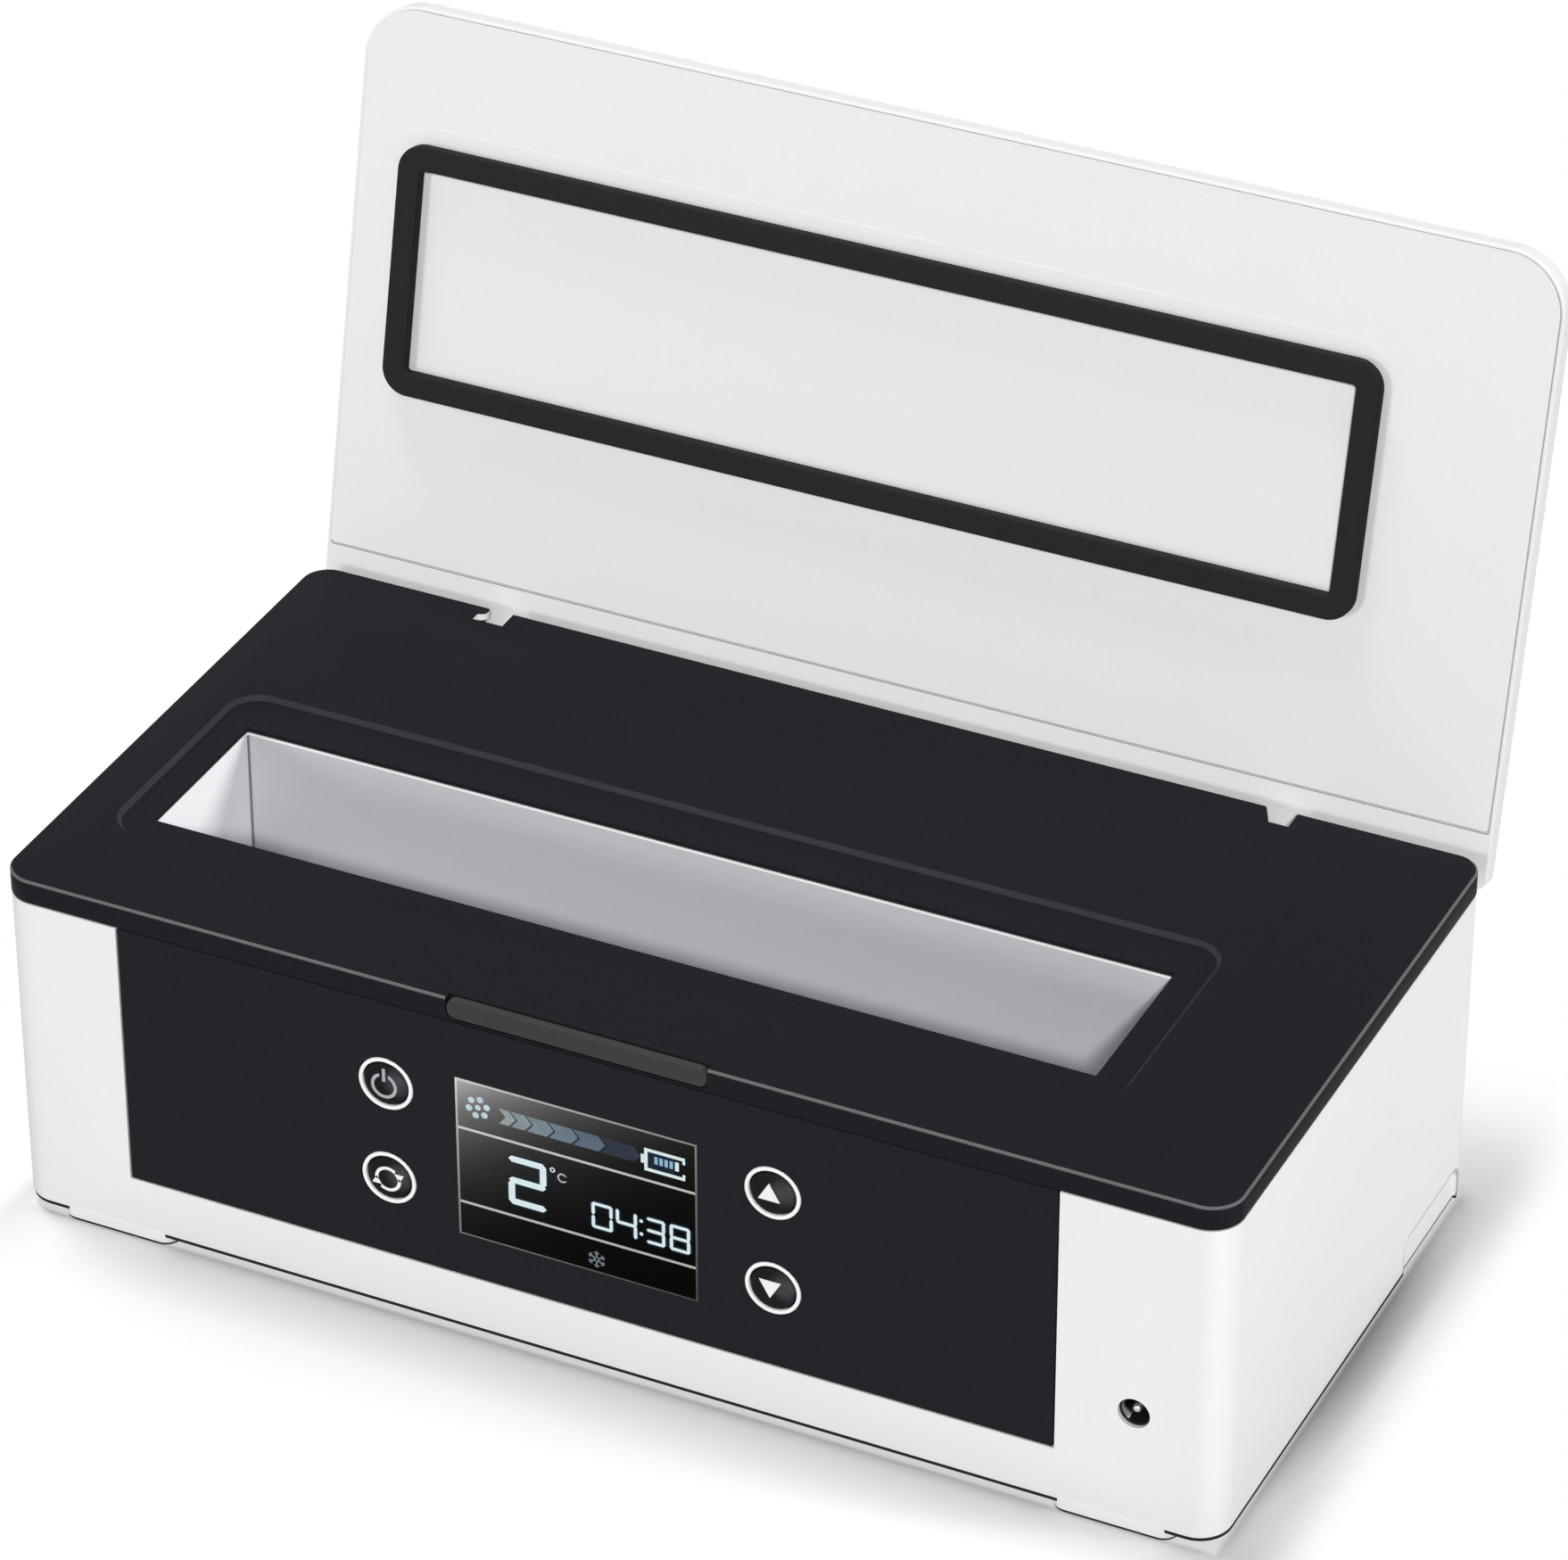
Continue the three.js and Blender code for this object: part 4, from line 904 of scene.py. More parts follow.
# gap: x and z of both ends and a width; tip and the arrows: x, z and a radius
signBand = {"radius": 2.5, "width": 0.6}
powerSign = {
    "shiftX": -0.1, "shiftZ": -0.2, "gapHalf": 0.85, "gapHeight": 4, "barLow": 0.9, "barHigh": 3.5,
}
cycleSign = {"gap": (1.3, 1.3, 3.2, 1.0, 1.4), "tip": (2.2, 0.9, 1.05)}
arrowSigns = {"up": (32.6, 48.6, 2.37), "down": (32.7, 29.6, 2.37)}


def makeButtonSymbols():
    front, back = frontY - button["proud"] + button["symbolProud"], frontY
    before, past, width = front - overrun, back + overrun, signBand["width"]
    x, z = buttonSpots["power"]
    x, z, half = x + powerSign["shiftX"], z + powerSign["shiftZ"], powerSign["gapHalf"]
    arc = linked("powerArc", band(x, z, signBand["radius"], width, front, back), [look["inkGrey"]])
    carve(arc, block(spot(x - half, before, z), spot(x + half, past, z + powerSign["gapHeight"])))
    place(arc, "power_button", "print_white")
    bar = stroke(x, z + powerSign["barLow"], x, z + powerSign["barHigh"], width, front, back)
    ink("powerBar", bar, look["inkGrey"], "power_button")
    x, z = buttonSpots["mode"]
    cycle = linked("modeCycle", band(x, z, signBand["radius"], width, front, back), [look["inkWhite"]])
    x0, z0, x1, z1, gap = cycleSign["gap"]
    carve(cycle, *[
        stroke(x + sign * x0, z + sign * z0, x + sign * x1, z + sign * z1, gap, before, past)
        for sign in (1, -1)
    ])
    place(cycle, "mode_button", "print_white")
    tipX, tipZ, size = cycleSign["tip"]
    tips = [
        disc(x + sign * tipX, z + sign * tipZ, size, front, back, 3, turn)
        for sign, turn in ((1, 180), (-1, 0))
    ]
    ink("modeTips", joined(tips), look["inkWhite"], "mode_button")
    for name, turn in (("up", 0), ("down", 180)):
        arrow = disc(*arrowSigns[name], front, back, 3, turn)
        ink(name + "Symbol", arrow, look["inkWhite"], name + "_button")


barrelShape = {"length": 11, "floor": 2, "pinGap": 1.05, "lead": 0.1, "edge": 0.05}
spring = {"in": 0.3, "out": 0.05, "floor": 2.5, "cutLeft": 1.2, "cutTop": 0.4, "cutReach": 4}
pin = {"nose": ((0, 0), (0.45, 0.1), (0.8, 0.4), (0.9, 1)), "radius": 0.9, "end": 13}


def makeSocket():
    # the barrel starts behind the wall's lip; a sprung contact curves up inside it
    x, z, bore, outer = socket["x"], socket["z"], socket["bore"], socket["outer"]
    centre, lead, gap = spot(x, 0, z), barrelShape["lead"], barrelShape["pinGap"]
    face, back = frontY + socket["lip"] + seam, frontY + barrelShape["length"]
    floor = back - barrelShape["floor"]
    profile = [
        (gap, back), (gap, floor), (bore, floor), (bore, face + lead), (bore + lead, face),
        (outer, face), (outer, back),
    ]
    barrel = linked("socketBarrel", turned(profile, centre, closed=True), [look["partBlack"]])
    place(softenEdges(barrel, barrelShape["edge"], 1), "case", "socket_metal", "power_socket")
    inner, rim, end = bore - spring["in"], bore - spring["out"], back - spring["floor"]
    profile = [(inner, face + lead), (rim, face + lead), (rim, end), (inner, end)]
    contactSpring = linked("socketSpring", turned(profile, centre, closed=True), [look["socketMetal"]])
    carve(contactSpring, block(
        spot(x - spring["cutLeft"], face - overrun, z - spring["cutReach"]),
        spot(x + spring["cutReach"], back, z + spring["cutTop"]),
    ))
    place(smooth(contactSpring), "case", "socket_metal")
    profile = [(radius, face + depth) for radius, depth in pin["nose"]]
    profile += [(pin["radius"], frontY + pin["end"]), (0, frontY + pin["end"])]
    centrePin = linked("socketPin", turned(profile, centre, 32), [look["steel"]])
    place(smooth(centrePin), "case", "steel", "power_socket_pin")


# the frame and its dividers are printed lines that carry the same painted reflection
glassFinishes = {
    "displayGlass": {
        "acrossFade": 13.0, "downFade": 7.5, "reflectionGlare": 0.42, "dark": 0.0012, "fleck": 0.4,
        "fleckScale": 60, "tint": (1.0, 0.98, 0.96, 1.0), "roughness": 0.35, "specular": 0.01,
    },
    "frameGrey": {
        "acrossFade": 42.0, "downFade": 24.0, "reflectionGlare": 0.6, "dark": 0.01, "fleck": 0.3,
        "fleckScale": 60, "tint": (1.0, 0.99, 0.98, 1.0), "roughness": 0.5, "specular": 0.05,
    },
    "dividerGrey": {
        "acrossFade": 300.0, "downFade": 90.0, "reflectionGlare": 0.62, "dark": 0.02, "fleck": 0.3,
        "fleckScale": 60, "tint": (1.0, 0.99, 0.99, 1.0), "roughness": 0.5, "specular": 0.05,
    },
}
for glassName, glassValues in glassFinishes.items():
    look[glassName] = glassMaterial(glassName, glassValues, (window["left"], window["top"]))


def makeLens():
    gap = window["gap"]
    lens = linked("displayWindow", block(
        spot(window["left"] + gap, frontY, window["bottom"] + gap),
        spot(window["right"] - gap, frontY + window["thick"], window["top"] - gap),
    ), [look["displayGlass"]])
    place(softenEdges(lens, window["edge"], 1), "case", "window_black", "display_lens")


# The lit marks of the display. A stroke is x and z of both ends and a width; a digit is its name, left,
# low, right and high edges and a stroke width; a dot is x, z and a radius, and a ring has a width too
litFront, litBack, glowFront = frontY - 0.03, frontY + 0.02, frontY - 0.015
segments = {"0": "abcdef", "2": "abdeg", "3": "abcdg", "4": "bcfg", "8": "abcdefg"}
display = {
    "frame": 0.4, "frameLow": 0.3, "dividers": (44.3, 28.8), "dividerWidth": 0.5,
    "temperature": ("2", -16.66, 31.3, -9.36, 41.4, 1.25),
    "clock": (("0", -0.86, 3.14), ("4", 3.74, 7.74), ("3", 9.49, 13.04), ("8", 13.89, 17.74)),
    "clockLow": 31.2, "clockHigh": 36.6, "clockWidth": 0.62, "spread": 0.35,
    "colon": ((8.54, 35.4, 0.34), (8.54, 32.7, 0.34)), "degree": (-8.16, 40.8, 0.5, 0.22),
    "unit": (-6.3, 39.65, 0.95, 0.32), "unitGap": (-5.9, 39.2, -4.5, 40.1),
}
fanSign = {"x": -22.16, "z": 49.4, "hub": 0.55, "ring": 1.75, "dot": 0.62, "count": 6, "turn": 15}
speedBars = {
    "edges": (-18.16, -15.86, -12.86, -8.66, -4.06, 1.14, 7.74),
    "gap": 0.45, "low": 47.4, "high": 50.5, "tip": 1.3,
    "tones": (
        (150, 160, 164), (136, 150, 156), (120, 137, 146),
        (106, 124, 136), (88, 104, 118), (42, 50, 62),
    ),
}
battery = {
    "strokes": (
        (9.3, 50.6, 16.9, 50.6, 0.62), (9.3, 46.6, 16.9, 46.6, 0.62), (9.6, 46.95, 9.6, 50.25, 0.62),
        (8.95, 47.7, 8.95, 49.5, 0.6), (15.4, 47.9, 15.4, 49.7, 0.7), (16.7, 49.6, 16.7, 50.25, 0.5),
        (16.7, 46.95, 16.7, 47.5, 0.5),
    ),
    "charge": tuple((11.5 + 0.95 * i, 48.1, 11.5 + 0.95 * i, 49.6, 0.62) for i in range(4)),
    "glow": (10.1, 47.1, 14.9, 50.2),
}
flakeSign = {
    "x": -0.06, "z": 24.6, "arms": 6, "turn": 30, "from": 0.25, "to": 1.7, "width": 0.34,
    "branchAt": 1.05, "branchFrom": 0.12, "branchTo": 0.6, "branchWidth": 0.22, "lean": 0.9,
}


def strokes(rows):
    return joined([stroke(*row, litFront, litBack) for row in rows])


def stepped(start, reach, angle):
    # the place that lies a step away from the start, at an angle
    return start[0] + reach * math.cos(angle), start[1] + reach * math.sin(angle)


def digit(number, left, low, right, high, width, front):
    middle, edge, gap = (low + high) / 2, width / 2, width * 0.08
    ends = {
        "a": (left + gap, high - edge, right - gap, high - edge),
        "g": (left + gap, middle, right - gap, middle),
        "d": (left + gap, low + edge, right - gap, low + edge),
        "f": (left + edge, middle + gap, left + edge, high - gap),
        "b": (right - edge, middle + gap, right - edge, high - gap),
        "e": (left + edge, low + gap, left + edge, middle - gap),
        "c": (right - edge, low + gap, right - edge, middle - gap),
    }
    return [stroke(*ends[name], width, front, litBack, True) for name in segments[number]]


def chevron(left, right, low, high, tip):
    # an arrow band: two leaning halves that meet at its point
    middle, halves = (low + high) / 2, []
    for bottom, top in ((middle, high), (low, middle)):
        bm = block(spot(left, litFront, bottom), spot(right, litBack, top))
        for vert in bm.verts:
            if abs(vert.co.z - middle * mm) < 1e-6:
                vert.co.x += tip * mm
        halves.append(bm)
    return halves


def makeDisplayFrame():
    # the frame and its two dividing lines
    left, right = window["left"] + window["gap"], window["right"] - window["gap"]
    low, high = window["bottom"] + window["gap"], window["top"] - window["gap"]
    wide, narrow = display["frame"], display["frameLow"]
    rows = [
        (left, high - wide / 2, right, high - wide / 2, wide),
        (left, low + narrow / 2, right, low + narrow / 2, narrow),
    ]
    rows += [(x, low + narrow, x, high - wide, wide) for x in (left + wide / 2, right - wide / 2)]
    ink("displayFrame", strokes(rows), look["frameGrey"])
    ink("displayDividers", strokes([
        (left + wide, z, right - wide, z, display["dividerWidth"]) for z in display["dividers"]
    ]), look["dividerGrey"])


def makeDisplayDigits(lit, halo):
    # temperature and time, over a dim glow
    digits = [display["temperature"]] + [
        (number, left, display["clockLow"], right, display["clockHigh"], display["clockWidth"])
        for number, left, right in display["clock"]
    ]
    marks, glow, spread = [], [], display["spread"]
    for number, left, low, right, high, width in digits:
        marks += digit(number, left, low, right, high, width, litFront)
        glow += digit(
            number, left - spread, low - spread, right + spread, high + spread, width + 2 * spread,
            glowFront,
        )
    marks += [disc(*dot, litFront, litBack) for dot in display["colon"]]
    marks.append(band(*display["degree"], litFront, litBack))
    ink("displayDigits", joined(marks), lit)
    ink("displayGlow", joined(glow), halo)
    unit = linked("displayUnit", band(*display["unit"], litFront, litBack), [look["inkGrey"]])
    left, low, right, high = display["unitGap"]
    carve(unit, block(spot(left, litFront - overrun, low), spot(right, litBack + overrun, high)))
    place(unit, "case", "print_white")


def makeDisplaySigns(lit, halo):
    # fan sign, speed bars, battery and snowflake
    x, z = fanSign["x"], fanSign["z"]
    dots = [disc(x, z, fanSign["hub"], litFront, litBack)]
    for i in range(fanSign["count"]):
        angle = math.radians(360 / fanSign["count"] * i + fanSign["turn"])
        dotX, dotZ = stepped((x, z), fanSign["ring"], angle)
        dots.append(disc(dotX, dotZ, fanSign["dot"], litFront, litBack, 20))
    ink("displayFan", joined(dots), litMaterial("litCyan", srgb(196, 220, 226), 0.5))
    edges = speedBars["edges"]
    for i, tone in enumerate(speedBars["tones"]):
        left, right, number = edges[i], edges[i + 1] - speedBars["gap"], str(i + 1)
        bars = chevron(left, right, speedBars["low"], speedBars["high"], speedBars["tip"])
        ink("displayBar" + number, joined(bars), litMaterial("litBar" + number, srgb(*tone), 0.5))
    ink("displayBattery", strokes(battery["strokes"]), lit)
    ink("displayCharge", strokes(battery["charge"]), litMaterial("litBlue", srgb(140, 186, 214), 0.3))
    left, low, right, high = battery["glow"]
    ink("displayBatteryGlow", block(spot(left, glowFront, low), spot(right, litBack, high)), halo)
    rows, middle = [], (flakeSign["x"], flakeSign["z"])
    for i in range(flakeSign["arms"]):
        turn = math.radians(360 / flakeSign["arms"] * i + flakeSign["turn"])
        rows.append((
            *stepped(middle, flakeSign["from"], turn), *stepped(middle, flakeSign["to"], turn),
            flakeSign["width"],
        ))
        fork = stepped(middle, flakeSign["branchAt"], turn)
        for angle in (turn - flakeSign["lean"], turn + flakeSign["lean"]):
            rows.append((
                *stepped(fork, flakeSign["branchFrom"], angle),
                *stepped(fork, flakeSign["branchTo"], angle), flakeSign["branchWidth"],
            ))
    ink("displayFlake", strokes(rows), litMaterial("litGrey", srgb(112, 122, 130), 0.5))


makeFrontPanel()
for buttonName, (buttonX, buttonZ) in buttonSpots.items():
    makeRing(buttonName, buttonX, buttonZ)
    makeCap(buttonName, buttonX, buttonZ)
makeButtonSymbols()
makeSocket()
makeLens()
makeDisplayFrame()
litWhite = litMaterial("litWhite", srgb(222, 240, 242), 0.2)
litHalo = litMaterial("litHalo", srgb(6, 26, 44), 0.6)
makeDisplayDigits(litWhite, litHalo)
makeDisplaySigns(litWhite, litHalo)
print("front ready")


# The cold chamber's liner, open at the top
chamber = {
    "wall": 0.8, "low": 39.6, "floor": 40.4, "top": 68.6, "bright": 0.5, "radius": 1.2,
    "innerRadius": 0.35,
}
linerLooks = ("linerShadedAluminium", "linerCornerShade", "linerTopHighlight", "linerLitEnd")


def makeLiner():
    thick, top = chamber["wall"], chamber["top"]
    liner = linked("chamberLiner", plate(
        spot(case["mouthLeft"] - thick, case["mouthFront"] - thick, chamber["low"]),
        spot(case["mouthRight"] + thick, case["mouthRear"] + thick, top), chamber["radius"], segments=6,
    ), [look[name] for name in linerLooks])
    cavity = block(spot(case["mouthLeft"], case["mouthFront"], chamber["floor"]),
                   spot(case["mouthRight"], case["mouthRear"], top + overrun))
    # the rounded inner corners take the dark grey, painted shade
    roundEdges(cavity, edgesAlong(cavity, axisZ), chamber["innerRadius"], 3,
               material=linerLooks.index("linerCornerShade"))
    highlightFrom = top - chamber["bright"]
    bmesh.ops.bisect_plane(
        cavity, geom=cavity.verts[:] + cavity.edges[:] + cavity.faces[:],
        plane_co=point(0, 0, highlightFrom), plane_no=(0, 0, 1),
    )
    # a painted highlight along the top band, and the lighter copy, painted light, on the left end wall
    for face in cavity.faces:
        centre = face.calc_center_median()
        if centre.z > highlightFrom * mm:
            face.material_index = linerLooks.index("linerTopHighlight")
        elif centre.x < (case["mouthLeft"] + 0.01) * mm:
            face.material_index = linerLooks.index("linerLitEnd")
    place(carve(liner, cavity), "case", "liner_aluminium", "chamber_liner")


makeLiner()
print("chamber ready")


# The lid: every piece is drawn closed and then swung open round the hinge
lid = {
    "halfWidth": 114.5, "low": 72.5, "high": 76.7, "tip": -59.47, "rear": 55.0, "fold": 44.4,
    "open": 102.85, "frontRadius": 11.0, "rearRadius": 2.0, "outerEdge": 0.6, "innerEdge": 0.35,
    "softEdge": 0.15, "rim": 0.6, "roof": 1, "foldGap": 0.25,
}
arm = {"radius": 2.3, "half": 2.7, "left": 0.4, "front": 0.3, "rear": 2, "rise": 0.6, "holeReach": 4}
sheet = {"thick": 1.3, "leftGap": 0.04, "tipGap": 0.12, "softEdge": 0.1}
flange = {"low": 0.35, "high": 1.2, "gap": 0.02, "foldReach": 0.2}
pad = {"left": 2.8, "right": 3.0, "front": 3.0, "rear": 3.6, "proud": 0.06, "radius": 9.0}
sealArea = {"left": -104.95, "right": 84.75, "front": -34.9, "rear": 12.3}
seal = {"width": 4.6, "low": 69.9, "high": 72.2, "radius": 5.0, "innerRadius": 0.6, "softEdge": 0.5}


def swung(piece):
    bm = bmesh.new()
    bm.from_mesh(piece.data)
    turn = Matrix.Rotation(math.radians(-lid["open"]), 3, "X")
    bmesh.ops.rotate(bm, cent=spot(0, hinge["y"], hinge["z"]), matrix=turn, verts=bm.verts)
    bm.to_mesh(piece.data)
    bm.free()
    return piece


def makeLidShell():
    half, rim, low, high = lid["halfWidth"], lid["rim"], lid["low"], lid["high"]
    bm = plate(spot(-half, lid["tip"], low), spot(half, lid["rear"], high), lid["frontRadius"],
               lid["rearRadius"], segments=20)
    roundEdges(bm, edgesAtLevel(bm, high), lid["outerEdge"], 5)
    roundEdges(bm, edgesAtLevel(bm, low), lid["innerEdge"], 4)
    shell = linked("lidShell", bm, [look["lidShadedWhite"]])
    carve(shell, plate(
        spot(-half + rim, lid["tip"] + rim, low - overrun),
        spot(half - rim, lid["fold"] + lid["foldGap"], high - lid["roof"]),
        lid["frontRadius"] - rim, rim, segments=16,
    ))
    arms, holes = [], []
    for x in hingePlaces:
        arms.append(pinBar(arm["radius"], x, arm["half"]))
        arms.append(block(
            spot(x - arm["left"], hinge["y"] - arm["front"], hinge["z"]),
            spot(x + arm["half"], hinge["y"] + arm["rear"], low + arm["rise"]),
        ))
        holes.append(pinBar(hinge["pinHole"], x, arm["holeReach"]))
    weld(shell, *arms)
    carve(shell, *holes)
    place(softenEdges(swung(shell), lid["softEdge"]), "lid", "case_white", "lid_shell")


def makeLidPanel():
    half, rim, low, tip = lid["halfWidth"], lid["rim"], lid["low"], lid["tip"]
    inset = rim + fit
    piece = linked("lidPanel", plate(
        spot(-half + rim + sheet["leftGap"], tip + rim + sheet["tipGap"], low),
        spot(half - inset, lid["fold"] - fit, low + sheet["thick"]),
        lid["frontRadius"] - inset, rim, segments=16,
    ), [look["lidShadedWhite"], look["shadeLineGrey"]])
    # a thin flange closes the joint with the shell below the surface; its grey is painted shade, a dark
    # line along the fold
    joint = plate(
        spot(-half + rim + flange["gap"], tip + rim + flange["gap"], low + flange["low"]),
        spot(half - rim - flange["gap"], lid["fold"] + flange["foldReach"], low + flange["high"]),
        lid["frontRadius"] - rim, rim, segments=16,
    )
    raised = plate(
        spot(sealArea["left"] - pad["left"], sealArea["front"] - pad["front"], low - pad["proud"]),
        spot(sealArea["right"] + pad["right"], sealArea["rear"] + pad["rear"], low + seam),
        pad["radius"],
    )
    weld(piece, inMaterial(joint, 1), raised)
    place(softenEdges(swung(piece), sheet["softEdge"]), "lid", "case_white", "lid_inner_panel")


def makeLidSeal():
    width = seal["width"]
    piece = linked("lidSeal", plate(
        spot(sealArea["left"], sealArea["front"], seal["low"]),
        spot(sealArea["right"], sealArea["rear"], seal["high"]), seal["radius"],
    ), [look["sealRubber"]])
    carve(piece, plate(
        spot(sealArea["left"] + width, sealArea["front"] + width, seal["low"] - overrun),
        spot(sealArea["right"] - width, sealArea["rear"] - width, seal["high"] + overrun),
        seal["innerRadius"], segments=4,
    ))
    place(softenEdges(swung(piece), seal["softEdge"], 4), "lid", "seal_black", "lid_seal")


makeLidShell()
makeLidPanel()
makeLidSeal()
print("lid ready")


# Finishes of the pieces that stay as they come from the frame, by the start of their names
insideLooks = {
    "caseWhite": ("bottom_cover",),
    "partBlack": ("display_module", "fan_frame", "fan_rotor", "cell_tray", "switch"),
    "boardGreen": ("control_board", "main_board"),
    "foamWhite": ("chamber_foam", "lid_foam"),
    "sinkAluminium": ("cold_block", "heat_sink"),
    "ceramicWhite": ("peltier_module",),
    "cellBlue": ("battery_cell",),
    "steel": ("power_socket_collar", "lid_magnet", "catch_magnet", "temperature_sensor", "case_screw",
              "hinge_pin"),
}
for finishName, nameStarts in insideLooks.items():
    for nodeName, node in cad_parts.items():
        if nodeName.startswith(nameStarts):
            node.data.materials.clear()
            node.data.materials.append(look[finishName])
print("inside ready")


# The table, the backdrop, the lights and the camera
floorLook = {
    "halfSize": 6.0, "drop": 0.0001, "tone": 0.99, "cloudScale": 1.5, "cloudChange": 0.004,
    "roughness": 0.9, "bounce": 0.45, "shadowStart": 11.0, "shadowEnd": 46.0, "sideShrink": 2.9,
    "leftShrink": 8.7, "paintedUnderLight": 0.45, "underReach": 1.5,
}
# a shadow painted on the floor where it meets the case
paintedContactShadow = {
    "right": 0.62, "rightReach": 13.0, "middle": 8.0, "reach": 84.0, "front": 0.21, "frontReach": 34.0,
}
worldLook = {"fill": 0.09, "shown": 1.0}
suns = {
    "key": {"toward": (-0.26, 0.09, 0.955), "strength": 1.68, "spread": 16.0},
    "camera": {"toward": (0.364, -0.757, 0.543), "strength": 2.08, "spread": 5.0},
    "front": {"toward": (-0.48, -0.87, 0.13), "strength": 0.86, "spread": 14.0},
    "right": {"toward": (0.945, 0.24, 0.208), "strength": 1.63, "spread": 12.0},
    "rear": {"toward": (-0.4, 0.915, 0.03), "strength": 1.45, "spread": 4.0},
}
photoView = {
    "azimuth": 25.7254, "elevation": 32.8942, "roll": -0.1066, "target": (7.976, 0, 90.536),
    "distance": 1218.23, "lens": 164.19, "sensor": 36, "clip": 50,
}
plainWhite = (1.0, 1.0, 1.0, 1.0)


def seenRays(tree, *kinds):
    # one for the rays that show the floor or the world, nought for those that only light the object
    path = tree.nodes.new("ShaderNodeLightPath")
    seen = path.outputs["Is Camera Ray"]
    for kind in kinds:
        seen = mathNode(tree, "MAXIMUM", seen, path.outputs[kind])
    return seen


def mixed(tree, share, first, second, output):
    mix = tree.nodes.new("ShaderNodeMixShader")
    tree.links.new(share, mix.inputs[0])
    tree.links.new(first.outputs[0], mix.inputs[1])
    tree.links.new(second.outputs[0], mix.inputs[2])
    tree.links.new(mix.outputs[0], tree.nodes[output].inputs["Surface"])


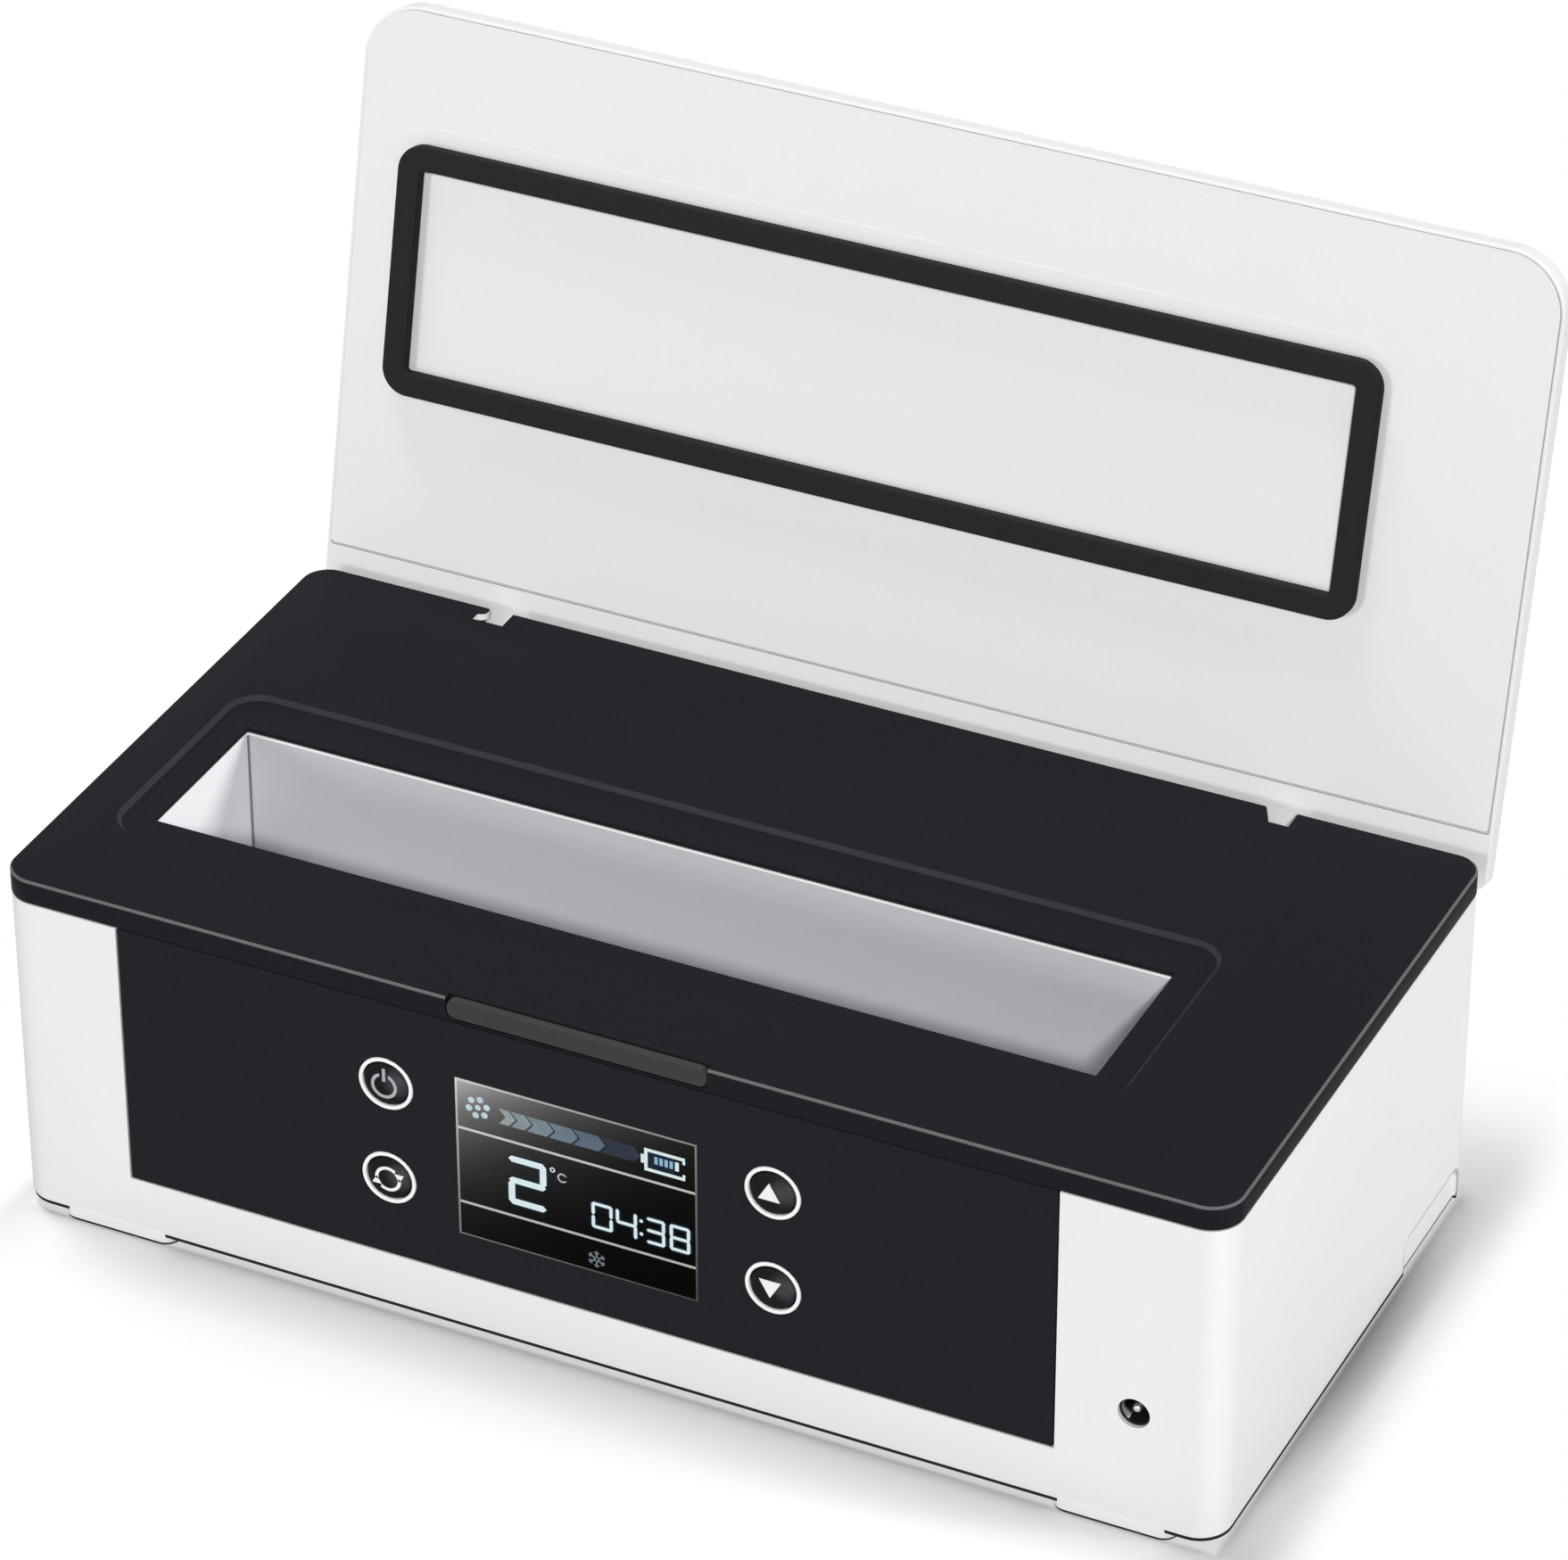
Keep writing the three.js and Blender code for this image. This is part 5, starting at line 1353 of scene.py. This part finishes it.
def makeFloor():
    bm = bmesh.new()
    bmesh.ops.create_grid(bm, x_segments=1, y_segments=1, size=floorLook["halfSize"])
    bmesh.ops.translate(bm, vec=(0, 0, -floorLook["drop"]), verts=bm.verts)
    material, tree, shader, coordinates = startMaterial("tableTop")

    def calc(operation, first, second=0.0):
        return mathNode(tree, operation, first, second)

    change = floorLook["cloudChange"]
    tone = calc("MULTIPLY", noise(tree, coordinates, floorLook["cloudScale"]), change)
    tone = calc("ADD", tone, floorLook["tone"] - change / 2)
    # the camera sees the floor white; what it throws back on the object is a plainer grey
    seen = calc("MULTIPLY", seenRays(tree, "Is Glossy Ray"), 1 - floorLook["bounce"])
    tone = calc("MULTIPLY", tone, calc("ADD", seen, floorLook["bounce"]))
    split = tree.nodes.new("ShaderNodeSeparateXYZ")
    tree.links.new(coordinates, split.inputs[0])
    sideways, along = split.outputs["X"], calc("SUBTRACT", split.outputs["Y"], middleY * mm)
    # painted shadow: a little darker where it meets the case, most just behind the middle of its right
    # wall
    past = calc("SUBTRACT", sideways, case["halfWidth"] * mm)
    off = calc("ABSOLUTE", calc("SUBTRACT", along, paintedContactShadow["middle"] * mm))
    right = calc("MULTIPLY", ramp(tree, past, 0, paintedContactShadow["rightReach"], paintedContactShadow["right"], 0),
                 ramp(tree, off, 0, paintedContactShadow["reach"], 1, 0))
    past = calc("SUBTRACT", -case["halfDepth"] * mm, along)
    front = ramp(tree, past, 0, paintedContactShadow["frontReach"], paintedContactShadow["front"], 0)
    tone = calc("MULTIPLY", tone, calc("SUBTRACT", 1.0, calc("MAXIMUM", right, front)))
    tree.links.new(tinted(tree, plainWhite, tone), shader.inputs["Base Color"])
    shader.inputs["Roughness"].default_value = floorLook["roughness"]
    shader.inputs["Specular IOR Level"].default_value = 0.0
    # away from the case the shadow runs out into plain white, soonest on the left
    across = calc("SUBTRACT", calc("ABSOLUTE", sideways), case["halfWidth"] * mm)
    lengthways = calc("SUBTRACT", calc("ABSOLUTE", along), case["halfDepth"] * mm)
    shrink = calc("MULTIPLY", calc("LESS_THAN", sideways, 0.0), floorLook["leftShrink"])
    shrink = calc("ADD", shrink, floorLook["sideShrink"])
    wide = calc("MULTIPLY", calc("MAXIMUM", across, 0.0), shrink)
    square = calc("ADD", calc("POWER", wide, 2.0), calc("POWER", calc("MAXIMUM", lengthways, 0.0), 2.0))
    white = ramp(tree, calc("SQRT", square), floorLook["shadowStart"], floorLook["shadowEnd"])
    # painted light: under the case the camera sees the floor partly white, over the shade beneath it
    underLight = ramp(tree, calc("MAXIMUM", across, lengthways), -floorLook["underReach"], 0.0,
                  floorLook["paintedUnderLight"], 0)
    share = calc("MULTIPLY", calc("MAXIMUM", white, underLight),
                 seenRays(tree, "Is Glossy Ray", "Is Transmission Ray"))
    mixed(tree, share, shader, tree.nodes.new("ShaderNodeEmission"), "Material Output")
    linked("tableTop", bm, [material])


def makeSun(name, values):
    lamp = bpy.data.lights.new("sun" + name.title(), "SUN")
    lamp.energy = values["strength"]
    lamp.angle = math.radians(values["spread"])
    sun = bpy.data.objects.new(lamp.name, lamp)
    bpy.context.scene.collection.objects.link(sun)
    sun.rotation_mode = "QUATERNION"
    sun.rotation_quaternion = Vector(values["toward"]).to_track_quat("Z", "Y")
    sun.visible_glossy = name != "rear"  # the rear one would glare off the lid's top edge


def makeWorld():
    world = bpy.data.worlds.new("studioWhite")
    world.use_nodes = True
    tree = world.node_tree
    fill, shown = tree.nodes["Background"], tree.nodes.new("ShaderNodeBackground")
    for node, strength in ((fill, worldLook["fill"]), (shown, worldLook["shown"])):
        node.inputs["Color"].default_value = plainWhite
        node.inputs["Strength"].default_value = strength
    seen = seenRays(tree, "Is Transmission Ray", "Is Glossy Ray")
    mixed(tree, seen, fill, shown, "World Output")
    bpy.context.scene.world = world


def makeCamera():
    azimuth, elevation = math.radians(photoView["azimuth"]), math.radians(photoView["elevation"])
    roll, flat = math.radians(photoView["roll"]), math.cos(elevation)
    back = Vector((math.sin(azimuth) * flat, -math.cos(azimuth) * flat, math.sin(elevation)))
    right = Vector((math.cos(azimuth), math.sin(azimuth), 0))
    up = back.cross(right)
    turnedRight = right * math.cos(roll) + up * math.sin(roll)
    turnedUp = up * math.cos(roll) - right * math.sin(roll)
    data = bpy.data.cameras.new("photoCamera")
    data.sensor_width = photoView["sensor"]
    data.lens = photoView["lens"]
    data.clip_end = photoView["clip"]
    camera = bpy.data.objects.new("photoCamera", data)
    bpy.context.scene.collection.objects.link(camera)
    turn = Matrix((turnedRight, turnedUp, back)).transposed().to_4x4()
    camera.matrix_world = Matrix.Translation(
        spot(*photoView["target"]) + back * photoView["distance"] * mm) @ turn
    bpy.context.scene.camera = camera


makeFloor()
for sunName, sunValues in suns.items():
    makeSun(sunName, sunValues)
makeWorld()
makeCamera()
bpy.context.scene.view_settings.view_transform = "Standard"
print("studio ready")
